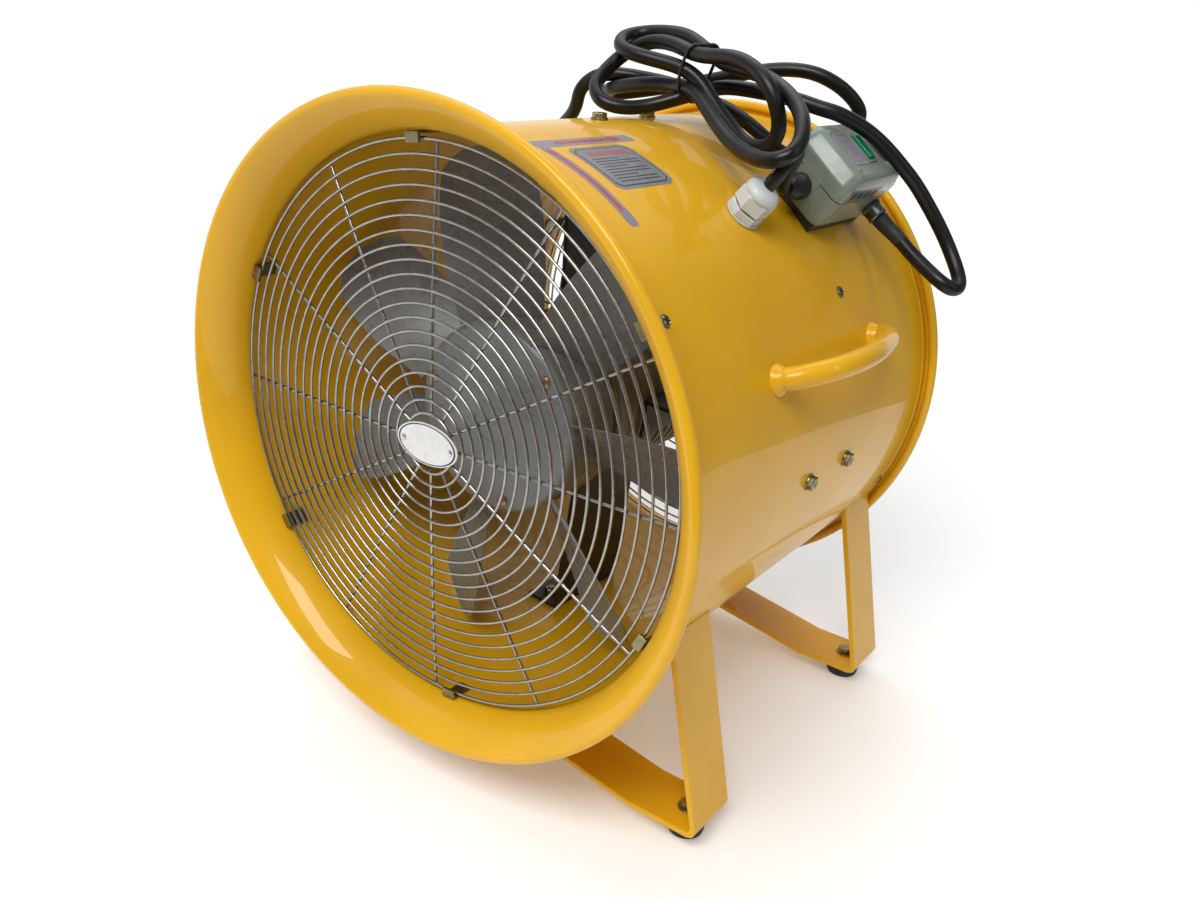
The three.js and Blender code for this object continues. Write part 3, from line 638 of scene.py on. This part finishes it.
def add_pan_screw(bm, place):
    """A domed cross-head screw drawn along the local y axis, with the cross as a near-black inset: painted
    shade in the recess.
    """
    radius = 4.4
    reach = radius * 0.62
    add_lathe(bm, [(0, 0), (radius, 0), (radius, 0.7), *arc(0, -3.4, 5.4, 42, 90, 6)], 28, place)
    for turn in (20, 110):
        a = math.radians(turn)
        bar = [(-reach, -0.45), (reach, -0.45), (reach, 0.45), (-reach, 0.45)]
        spun = [(x * math.cos(a) - z * math.sin(a), x * math.sin(a) + z * math.cos(a)) for x, z in bar]
        add_prism(bm, spun, 1.2, 2.12, place, 1)


def add_strut_bolts():
    number = 1
    for angle in STRUT_ANGLES:
        for y in STRUT_BOLTS_Y:
            bm = bmesh.new()
            add_hex_bolt(bm, upright(spoke(angle, y)) @ Matrix.Translation((0, DRUM_RADIUS + 0.1, 0)))
            nut = upright(spoke(angle, y)) @ Matrix.Translation((0, 200.2, 0))
            add_lathe(bm, [(0, 0), (5.1, 0), (5.75, 0.6), (5.75, 5.4), (0, 5.4)], 6, nut)
            add_lathe(bm, [(0, -1.6), (2.6, -1.6), (3, -1.2), (3, 12), (0, 12)], 20, nut)
            name = f"strut_bolt_{number}"
            bolt = make_object(name + "_look", bm, bevel=0.25)
            keep(bolt, "frame_body", [CHROMATE], (name,))
            number += 1


def add_drum_screws():
    spots = [(angle, CLIP_SCREW_Y) for angle in CLIP_ANGLES]
    spots += [(angle, REAR_SCREW_Y) for angle in REAR_CLIP_ANGLES]
    spots.append(SIDE_SCREW)
    bm = bmesh.new()
    for angle, y in spots:
        add_pan_screw(bm, upright(spoke(angle, y)) @ Matrix.Translation((0, DRUM_RADIUS, 0)))
    screws = make_object("drum_screws", bm)
    keep(screws, "frame_body", [CHROMATE, SHADE_AND_PRINT_DARK])
    bm = bmesh.new()
    # The open hole in the drum is a flat near-black disc: painted shade standing in for the hole.
    hole = upright(spoke(*OPEN_HOLE)) @ Matrix.Translation((0, DRUM_RADIUS, 0))
    add_lathe(bm, [(0, 0.05), (2.6, 0.05), (3, 0.25), (3.3, 0.1), (3.3, 0), (0, 0)], 28, hole)
    keep(make_object("open_hole", bm), "frame_body", [SHADE_AND_PRINT_DARK])


def add_clips():
    for i in range(6):
        refined(f"guard_clip_{i + 1}", [CHROMATE], 0.5)
    bm = bmesh.new()
    inner = DRUM_RADIUS - SHEET
    for angle in REAR_CLIP_ANGLES:
        hook = [(inner - 1.9, 176), (inner - 0.3, 176), (inner - 0.3, 203.5), (202, 203.5), (202, 201.8),
                (inner - 1.9, 201.8)]
        add_prism(bm, hook, -6, 6, spoke(angle) @ Matrix.Rotation(math.radians(-90), 4, "X"))
    clips = make_object("rear_guard_clips", bm, bevel=0.4)
    keep(clips, "frame_body", [CHROMATE])


# Badge in the middle of the front guard, left blank.
def add_badge():
    bm = bmesh.new()
    front = FRONT_GUARD_Y - GUARD_DOME - RING_WIRE - GAP

    def oval(scale):
        steps = [2 * math.pi * i / 64 for i in range(64)]
        return [(29 * scale * math.cos(a), 15.5 * scale * math.sin(a)) for a in steps]

    add_prism(bm, oval(1.0), front - 1.2, front)
    add_prism(bm, oval(0.95), front - 1.3, front - 1.1, material=1)
    add_prism(bm, oval(0.9), front - 1.4, front - 1.2)
    for x in (-22.5, 22.5):
        place = Matrix.Translation((x, front - 1.4, 0)) @ Matrix.Rotation(math.pi, 4, "X")
        add_lathe(bm, [(0, 0), (2.4, 0), (2.2, 0.6), (1.4, 1.0), (0, 1.1)], 24, place, 2)
    badge = make_object("badge_look", bm)
    keep(badge, "frame_body", [BADGE_WHITE, SHADE_AND_PRINT_DARK, STEEL], ("badge_plate",))


# Motor and impeller.
def add_motor():
    r = MOTOR_RADIUS
    bm = bmesh.new()
    ribs = []
    for k in range(9):
        y = 70 - 12 * k
        ribs += [(r, y), (r, y - 4), (r - 1.6, y - 4.8), (r - 1.6, y - 11.2)]
    shell = [(0, 92), (40, 91.4), (62, 88), *arc(r - 8, 80, 8, 70, 0, 6), *ribs, (r, -49), (r - 3, -50)]
    shell += [(r - 6, -50), (r - 6, 70), (58, 78), (0, 80)]
    add_lathe(bm, shell, 96)
    casing = make_object("motor_casing_look", bm, sharp=40)
    keep(casing, "frame_body", [MOTOR_GREY], ("motor_casing",))
    refined("motor_front_shield", [MOTOR_GREY], 0.6)
    for node in ("stator_core", "rotor_core"):
        paint_node(node, LAMINATION)
    for node in ("front_bearing", "rear_bearing", "motor_shaft"):
        paint_node(node, STEEL)
    paint_node("contactor", BLACK_NYLON)


def paint_node(node, material):
    data = bpy.data.objects[node].data
    data.materials.clear()
    data.materials.append(material)


def add_struts():
    for i in range(4):
        refined(f"motor_strut_{i + 1}", [BLACK_PAINT], 0.8)


def add_hub():
    r = HUB_RADIUS
    bm = bmesh.new()
    nose = arc(0, 250, 376, 270, 259.6, 12)
    cup = [(0, -126), *nose[1:], *arc(r - 7, -112.5, 7, -70, 0, 6), (r, -66.6), (r - 2.4, -66.6)]
    cup += [(r - 2.4, -109), (62, -115), (17, -120), (17, -92), (8.3, -92), (8.3, -117.4), (0, -117.4)]
    add_lathe(bm, cup, 96)
    hub = make_object("impeller_hub_look", bm, sharp=40)
    keep(hub, "impeller", [BLADE_GREY], ("impeller_hub",))
    bm = bmesh.new()
    for angle in HUB_SCREW_ANGLES:
        a = math.radians(angle)
        spot = Matrix.Translation((64 * math.cos(a), -118.6, 64 * math.sin(a)))
        place = spot @ Matrix.Rotation(math.pi, 4, "X")
        add_lathe(bm, [(0, 0), (5, 0), (4.8, 1.6), (3.2, 2.8), (0, 3.2)], 28, place)
        # A near-black hex at each screw's middle: painted shade in its socket.
        add_lathe(bm, [(0, 3.1), (1.6, 3.1), (1.6, 3.3), (0, 3.3)], 6, place, 1)
    screws = make_object("hub_screws", bm)
    keep(screws, "impeller", [COPPER, SHADE_AND_PRINT_DARK])


def blade_point(u, v, side):
    """One point of a blade's skin: u from root to tip, v from leading to trailing edge.

    The tip's corners are trimmed, the leading one more. The pitch falls outwards, and the chord is
    widest just past the middle.
    """
    root = HUB_RADIUS + 0.4
    trim = 104 * u ** 6 * (0.35 - v) ** 2 * (1 if v < 0.35 else 0.4)
    radius = root + u * (BLADE_TIP - root) - trim
    pitch = math.radians(46 - 20 * u)
    chord = 62 + 14 * math.sin(math.pi * min(1, u * 0.9))
    along = (0.5 - v) * chord
    camber = 5 * (1 - (2 * v - 1) ** 2)
    thick = 1.2 * (1 - abs(2 * v - 1) ** 6 * 0.5)
    lift = camber + side * thick
    turn = along * math.cos(pitch) + lift * math.sin(pitch) * 0.6
    y = -98 - along * math.sin(pitch) + lift * math.cos(pitch)
    angle = turn / radius
    return Vector((radius * math.cos(angle), y, radius * math.sin(angle)))


def add_blades():
    rows, columns = 28, 20
    for k in range(BLADES):
        bm = bmesh.new()
        skins = []
        for side in (-1, 1):
            skins.append([[bm.verts.new(blade_point(i / rows, j / columns, side)) for j in range(columns + 1)]
                          for i in range(rows + 1)])
        for skin in skins:
            for i in range(rows):
                for j in range(columns):
                    bm.faces.new((skin[i][j], skin[i][j + 1], skin[i + 1][j + 1], skin[i + 1][j]))
        low, high = skins
        rim = [(0, j) for j in range(columns)] + [(i, columns) for i in range(rows)]
        rim += [(rows, j) for j in range(columns, 0, -1)] + [(i, 0) for i in range(rows, 0, -1)]
        for n, (i, j) in enumerate(rim):
            i2, j2 = rim[(n + 1) % len(rim)]
            bm.faces.new((low[i][j], low[i2][j2], high[i2][j2], high[i][j]))
        blade = make_object(f"blade_{k + 1}_look", bm, spoke(FIRST_BLADE + 360 * k / BLADES), sharp=50)
        keep(blade, "impeller", [BLADE_GREY], (f"blade_{k + 1}",))


# Legs, feet and handles.
def add_legs():
    for node in ("front_leg", "rear_leg"):
        refined(node, [YELLOW], 1.2, 3)


def add_feet():
    number = 1
    for y in LEG_YS:
        for side in (1, -1):
            bm = bmesh.new()
            pad = [(0, -15), (12.6, -15), (13.5, -14.6), (14.3, -12), (14.4, -10), (13.6, -1.2), (12.8, -GAP),
                   (4, -GAP), (4, 2), (0, 2)]
            turn = Matrix.Translation((side * FOOT_X, y, STRAP_LOW)) @ Matrix.Rotation(math.pi / 2, 4, "X")
            add_lathe(bm, pad, 48, turn)
            add_lathe(bm, [(0, 1), (4, 1), (4, 5.3), (8, 5.3), (8, 6.5), (0, 6.5)], 32, turn, 1)
            add_lathe(bm, [(0, 6.5), (6.4, 6.5), (6.4, 9.9), (5.7, 10.6), (0, 10.6)], 6, turn, 1)
            name = f"foot_{number}"
            foot = make_object(name + "_look", bm, bevel=0.2)
            keep(foot, "frame_body", [RUBBER, CHROMATE], (name,))
            number += 1


HANDLES = {"handle_right": 18.8, "handle_left": 161.2}
HANDLE_PADS_Y = (-62, 98)
HANDLE_BOW = [
    (213, -62), (221, -61.8), (238, -48), (248, -26), (250, 8),
    (244, 42), (235, 74), (221, 97.8), (213, 98),
]


def add_handles():
    for name, angle in HANDLES.items():
        place = spoke(angle)
        bow = [place @ Vector((r, y, 0)) for r, y in HANDLE_BOW]
        bm = bmesh.new()
        add_wire(bm, smooth_path(bow, 8), 8, 28, flat=place.to_3x3() @ Vector((0, 0, 1)))
        for y in HANDLE_PADS_Y:
            pad = [(0, 0), (11.4, 0), (11.2, 1.6), (10, 3.2), (9, 4.8), (8.4, 7), (0, 7)]
            add_lathe(bm, pad, 40, upright(spoke(angle, y)) @ Matrix.Translation((0, DRUM_RADIUS, 0)))
        handle = make_object(name + "_look", bm, sharp=50)
        keep(handle, "frame_body", [YELLOW], (name,))


# Switch box: the frame's x is its height over the drum.
def rounded_rectangle(y0, y1, half, corner):
    points = []
    for cz, cy, start in ((half - corner, y1 - corner, 0), (corner - half, y1 - corner, 90),
                          (corner - half, y0 + corner, 180), (half - corner, y0 + corner, 270)):
        points += arc(cz, cy, corner, start, start + 90, 8)
    return points


def add_box_shell(bm, outline, levels, material=0):
    """A closed shell through levels (x, dy, dz) of the outline, drawn in by dy and dz on each side."""
    place = spoke(BOX_ANGLE)
    half_y = BOX_LENGTH / 2
    centre_y = BOX_FRONT + half_y
    rings = []
    for x, dy, dz in levels:
        near = 1 - dy / half_y
        thin = 1 - dz / (BOX_WIDTH / 2)
        rings.append([bm.verts.new(place @ Vector((x, centre_y + (y - centre_y) * near, z * thin)))
                      for z, y in outline])
    for low, high in zip(rings, rings[1:]):
        for i in range(len(low)):
            j = (i + 1) % len(low)
            bm.faces.new((low[i], low[j], high[j], high[i])).material_index = material
    for cap in (rings[0], list(reversed(rings[-1]))):
        bm.faces.new(cap).material_index = material


def add_switch_box():
    shell = rounded_rectangle(BOX_FRONT, BOX_FRONT + BOX_LENGTH, BOX_WIDTH / 2, 8)
    bm = bmesh.new()
    levels = [(BOX_BASE, 1.2, 1.2), (BOX_BASE + 1.2, 0.2, 0.2), (BOX_BASE + 3, 0, 0), (BOX_SPLIT, 0, 0)]
    add_box_shell(bm, shell, levels)
    keep(make_object("switch_box_base_look", bm, sharp=50), "frame_body", [BOX_GREEN],
         ("switch_box_base",))
    bm = bmesh.new()
    # A band at the lid's split, drawn in by 0.9 mm and near-black: painted shade in the seam between lid and
    # base.
    add_box_shell(bm, shell, [(BOX_SPLIT - 1, 0.9, 0.9), (BOX_SPLIT + 1.6, 0.9, 0.9)], 1)
    bend = BOX_TOP - 12
    levels = [(BOX_SPLIT + 0.9, 0, 0), (bend - 2.4, 0, 0), (bend - 1, 0.15, 0.05), (bend + 0.6, 0.8, 0.2)]
    levels += [(bend + 2.2, 1.9, 0.4), (BOX_TOP - 3, 6.9, 1.6), (BOX_TOP - 1.6, 8, 2.3)]
    levels += [(BOX_TOP - 0.6, 9.3, 3.6), (BOX_TOP - 0.1, 10.9, 5.2), (BOX_TOP, 12.4, 6.6)]
    add_box_shell(bm, shell, levels)
    keep(make_object("switch_box_lid_look", bm, sharp=50), "frame_body", [BOX_GREEN, SHADE_AND_PRINT_DARK],
         ("switch_box_lid",))
    refined("switch_box_pad", [RUBBER], 0.6)
    add_box_step()
    add_box_face()
    add_buttons()


def add_box_step():
    """The lid's skirt steps down over the base on the front and rear faces."""
    bm = bmesh.new()
    for face_y, out in ((BOX_FRONT, -1), (BOX_FRONT + BOX_LENGTH, 1)):
        skirt = [(BOX_SPLIT - 7, -9), (BOX_SPLIT + 3, -9), (BOX_SPLIT + 3, 22), (BOX_SPLIT + 0.8, 22),
                 (BOX_SPLIT + 0.8, 12), (BOX_SPLIT - 7, 6)]
        low, high = sorted((face_y - out * 0.6, face_y + out * 0.5))
        add_prism(bm, skirt, low, high, spoke(BOX_ANGLE))
    keep(make_object("switch_box_skirt", bm, bevel=0.3), "frame_body", [BOX_GREEN])


def add_face_block(bm, x0, x1, y0, y1, z0, z1, material=0):
    outline = [(x0, z0), (x1, z0), (x1, z1), (x0, z1)]
    add_prism(bm, outline, y0, y1, spoke(BOX_ANGLE), material)


def add_box_face():
    """A label panel, the button surrounds with near-black wells (painted shade), four lid screws and a side
    label with dark printed marks.
    """
    bm = bmesh.new()
    add_face_block(bm, BOX_TOP - 0.4, BOX_TOP + 0.5, 64, 86, -14, 17, 1)
    add_face_block(bm, BOX_TOP - 0.4, BOX_TOP + 0.52, 86, 87.4, -14, 17, 2)
    for z in (-10, -4, 2, 8, 14):
        add_face_block(bm, BOX_TOP + 0.3, BOX_TOP + 0.62, 67, 82, z - 0.5, z + 0.4, 2)
    for y in (START_Y, STOP_Y):
        add_face_block(bm, BOX_TOP - 0.4, BOX_TOP + 1.3, y - 6.6, y - 4.9, -12.8, 12.8)
        add_face_block(bm, BOX_TOP - 0.4, BOX_TOP + 1.3, y + 4.9, y + 6.6, -12.8, 12.8)
        add_face_block(bm, BOX_TOP - 0.4, BOX_TOP + 1.3, y - 6.6, y + 6.6, -12.8, -10.9)
        add_face_block(bm, BOX_TOP - 0.4, BOX_TOP + 1.3, y - 6.6, y + 6.6, 10.9, 12.8)
        # Each button's well is near-black: painted shade in the gap round the button.
        add_face_block(bm, BOX_TOP - 3, BOX_TOP + 0.15, y - 5, y + 5, -11, 11, 3)
    for y in (BOX_FRONT + 15.5, BOX_FRONT + BOX_LENGTH - 14.5):
        for z in (-18, 18):
            place = upright(spoke(BOX_ANGLE, y)) @ Matrix.Translation((0, BOX_TOP - 0.9, -z))
            add_lathe(bm, [(0, 0), (2.4, 0), (2.4, 1.2), (1.8, 1.6), (0, 1.7)], 24, place)
    add_face_block(bm, BOX_SPLIT + 2, BOX_TOP - 12, 58, 112, -28.3, -27.8, 2)
    for k in range(4):
        add_face_block(bm, BOX_SPLIT + 3.4, BOX_TOP - 13.6, 62 + 12 * k, 70 + 12 * k, -28.4, -27.9, 3)
    looks = [BOX_GREEN, LABEL, PLATE_GREY, SHADE_AND_PRINT_DARK]
    keep(make_object("switch_box_face", bm, bevel=0.25), "frame_body", looks)


def add_buttons():
    for node, y, material, slot, body in (("start_button", START_Y, GREEN, "green_plastic", "start"),
                                          ("stop_button", STOP_Y, RED, "red_plastic", "stop")):
        bm = bmesh.new()
        add_face_block(bm, BOX_TOP - 9, BOX_TOP + BUTTON_RISE, y - 4.5, y + 4.5, -10.5, 10.5)
        button = make_object(node + "_look", bm, bevel=0.9, bevel_segments=3)
        keep(button, body, [material], (node,))


# Cable glands.
def add_drum_gland():
    place = upright(spoke(GLAND_ANGLE, GLAND_Y))
    bm = bmesh.new()
    add_lathe(bm, [(0, 204), (12.4, 204), (13, 204.6), (13, 209), (0, 209)], 6, place)
    add_lathe(bm, [(0, 208), (10, 208), (10, 221), (0, 221)], 48, place)
    add_lathe(bm, [(0, 212.3), (13.4, 212.3), (13.4, 213.6), (0, 213.6)], 48, place)
    lower_nut = [(0, 213.6), (13.2, 213.6), (13.6, 214.2), (13.6, 218.6), (12.8, 219.4), (0, 219.4)]
    add_lathe(bm, lower_nut, 6, place)
    # A near-black neck between the two nuts: painted shade in the gap.
    add_lathe(bm, [(0, 219.3), (11.4, 219.3), (11.4, 220.5), (0, 220.5)], 48, place, 1)
    add_lathe(bm, [(0, 220.4), (13.4, 220.4), (14, 221), (14, 230.6), (13.2, 231.6), (0, 231.6)], 6, place)
    dome_top = arc(6.8, 232.6, 6.4, 0, 80, 8)
    add_lathe(bm, [(0, 231.4), (12.9, 231.4), *dome_top, (6.2, 239.6), (0, 239.6)], 48, place)
    gland = make_object("lead_gland_look", bm, sharp=30, bevel=0.3)
    keep(gland, "frame_body", [WHITE_NYLON, SHADE_AND_PRINT_DARK], ("lead_gland",))


def add_relief():
    place = spoke(BOX_ANGLE) @ Matrix.Translation((230.5, 0, 1.6))
    bm = bmesh.new()
    profile = [(0, 26), (5.4, 26), (6.6, 26.8)]
    for k in range(4):
        y = 28 + 3.2 * k
        profile += [(8.4, y), (8.7, y + 1.6), (7.6, y + 2.0), (7.6, y + 2.9)]
    profile += [(9.4, 41.2), (9.7, 42), (9.7, 47.4), (7, 47.7), (7, 50.8), (9, 50.8), (9, 54.5), (0, 54.5)]
    add_lathe(bm, profile, 40, place)
    keep(make_object("lead_strain_relief_look", bm, sharp=30), "frame_body", [BLACK_NYLON],
         ("lead_strain_relief",))


def add_mains_gland():
    foot = Matrix.Translation((232, MAINS_GLAND_Y, 0))
    place = spoke(BOX_ANGLE) @ foot @ Matrix.Rotation(-math.pi / 2, 4, "X")
    bm = bmesh.new()
    add_lathe(bm, [(0, 21), (9, 21), (9, 25.2), (0, 25.2)], 6, place)
    add_lathe(bm, [(0, 25), (7, 25), (7, 35), (0, 35)], 40, place)
    add_lathe(bm, [(0, 28.3), (8.2, 28.3), (8.6, 28.8), (8.6, 31.6), (8.1, 32.1), (0, 32.1)], 6, place)
    cap = [(0, 32), (7.6, 32), (7.6, 37.4), *arc(5.9, 38.4, 2, 0, 75, 5), (5.9, 40.8), (0, 40.8)]
    add_lathe(bm, cap, 40, place)
    keep(make_object("mains_gland_look", bm, sharp=30, bevel=0.25), "frame_body", [DULL_STEEL],
         ("mains_gland",))


# Stickers on the drum: flat shapes in arc degrees and y, bent to its surface.
def add_sticker(bm, corners, lift, material, corner=0.0):
    """A patch over (angle, y) corners: given low and high angle and y, with rounded corners."""
    (a0, y0), (a1, y1) = corners
    radius = DRUM_RADIUS + lift
    steps = max(2, int(abs(a1 - a0)))
    rows = max(2, int(abs(y1 - y0) / 6))
    reach = corner / (radius * math.pi / 180)

    def point(i, j):
        a = a0 + (a1 - a0) * i / steps
        edge = max(0.0, reach - min(a - a0, a1 - a)) / reach if reach else 0.0
        cut_in = corner * (1 - math.sqrt(max(0.0, 1 - edge * edge)))
        low, high = y0 + cut_in, y1 - cut_in
        return spoke(a) @ Vector((radius, low + (high - low) * j / rows, 0))

    grid = [[bm.verts.new(point(i, j)) for j in range(rows + 1)] for i in range(steps + 1)]
    for i in range(steps):
        for j in range(rows):
            face = bm.faces.new((grid[i][j], grid[i + 1][j], grid[i + 1][j + 1], grid[i][j + 1]))
            face.material_index = material


def add_arrow_head(bm, points, lift, material):
    verts = [bm.verts.new(spoke(a) @ Vector((DRUM_RADIUS + lift, y, 0))) for a, y in points]
    bm.faces.new(verts).material_index = material


def add_stickers():
    bm = bmesh.new()
    add_sticker(bm, ((74.6, -147), (77.6, -38)), 0.10, 0, 1.5)
    add_sticker(bm, ((52, -147), (74.7, -137)), 0.12, 0, 1.5)
    add_sticker(bm, ((75.6, -124), (76.6, -62)), 0.2, 1)
    add_arrow_head(bm, [(75.0, -62), (76.1, -50), (77.2, -62)], 0.2, 1)
    add_sticker(bm, ((55.5, -143.6), (72.4, -140.4)), 0.2, 1)
    add_arrow_head(bm, [(72.3, -145.4), (72.3, -138.6), (74.2, -142)], 0.22, 1)
    add_sticker(bm, ((60, -126), (73.6, -60)), 0.10, 2, 6)
    add_sticker(bm, ((60.8, -123), (72.8, -63)), 0.16, 3, 5)
    add_sticker(bm, ((61.1, -122), (72.5, -64)), 0.22, 2, 4.5)
    for k in range(11):
        y = -112 + 4 * k
        add_sticker(bm, ((70.0, y), (71.6, y + 2.4)), 0.28, 1)
    for k in range(9):
        a = 69 - 0.86 * k
        end = -70 if k % 3 else -88
        add_sticker(bm, ((a - 0.14, -116), (a + 0.14, end)), 0.28, 3)
    stickers = make_object("drum_stickers", bm, sharp=60)
    keep(stickers, "frame_body", [LABEL, LABEL_RED, PLATE_GREY, LABEL_DARK])


# Floor and lights.
def add_stage():
    """A small white sheet, whose far edge the drum's side reflects, the room and three soft lights."""
    bpy.ops.mesh.primitive_plane_add(size=1.9, location=(0, 0.08, 0))
    floor = bpy.context.object
    floor.name = "floor"
    look = Look("pale_floor", 0.8)
    look.colour((0.9, 0.9, 0.9), 0.01, 3.0)
    look.shader.inputs["Specular IOR Level"].default_value = 0.0
    look.shader.inputs["Emission Color"].default_value = (1, 1, 1, 1)
    look.shader.inputs["Emission Strength"].default_value = 0.15
    floor.data.materials.append(look.material)
    bpy.context.scene.world = studio_world()
    bpy.context.scene.view_settings.view_transform = "Standard"
    add_light("key", (0.45, -1.9, 2.4), (0, 0, 0.25), 1.8, 1.2, 68)
    add_light("top", (-0.6, 0.8, 2.6), (0, 0, 0.2), 1.6, 1.6, 8)
    add_light("side", (2.4, 0.2, 1.6), (0, 0, 0.3), 0.4, 1.6, 6)


def studio_world():
    """A white room behind the object and overhead, and a darker one elsewhere."""
    studio = bpy.data.worlds.new("studio")
    studio.use_nodes = True
    tree = studio.node_tree
    coords = tree.nodes.new("ShaderNodeTexCoord")
    split = tree.nodes.new("ShaderNodeSeparateXYZ")
    ramp = tree.nodes.new("ShaderNodeValToRGB")
    tree.links.new(coords.outputs["Generated"], split.inputs["Vector"])
    tree.links.new(split.outputs["Z"], ramp.inputs["Fac"])
    stops = ramp.color_ramp.elements
    stops[0].position = 0.1
    stops[1].position = 0.85
    for stop, level in ((stops[0], 0.65), (stops[1], 1.0), (stops.new(0.3), 0.35), (stops.new(0.6), 0.4)):
        stop.color = (level, level, level, 1)
    aim = tree.nodes.new("ShaderNodeVectorMath")
    aim.operation = "DOT_PRODUCT"
    aim.inputs[1].default_value = (-0.9, 0.42, 0)
    fade = tree.nodes.new("ShaderNodeMapRange")
    fade.inputs["From Min"].default_value = 0.1
    fade.inputs["From Max"].default_value = 0.35
    fade.inputs["To Min"].default_value = 0.35
    fade.inputs["To Max"].default_value = 1.7
    tree.links.new(coords.outputs["Generated"], aim.inputs[0])
    tree.links.new(aim.outputs["Value"], fade.inputs["Value"])
    tree.links.new(ramp.outputs["Color"], tree.nodes["Background"].inputs["Color"])
    tree.links.new(fade.outputs["Result"], tree.nodes["Background"].inputs["Strength"])
    return studio


def add_light(name, place, target, width, height, power):
    data = bpy.data.lights.new(name, "AREA")
    data.shape = "RECTANGLE"
    data.size = width
    data.size_y = height
    data.energy = power
    lamp = bpy.data.objects.new(name, data)
    lamp.location = place
    lamp.rotation_euler = (Vector(target) - Vector(place)).to_track_quat("-Z", "Y").to_euler()
    bpy.context.scene.collection.objects.link(lamp)


add_camera()
add_mains_cord()
add_motor_lead()
add_tie()
add_drum()
add_bell()
add_rear_ring()
add_guard("front_guard_look", "front_guard", FRONT_GUARD_Y, -1)
add_guard("rear_guard_look", "rear_guard", REAR_GUARD_Y, 1)
add_clips()
add_drum_screws()
add_badge()
add_struts()
add_strut_bolts()
add_motor()
add_hub()
add_blades()
add_legs()
add_feet()
add_handles()
add_switch_box()
add_drum_gland()
add_relief()
add_mains_gland()
add_stickers()
add_stage()
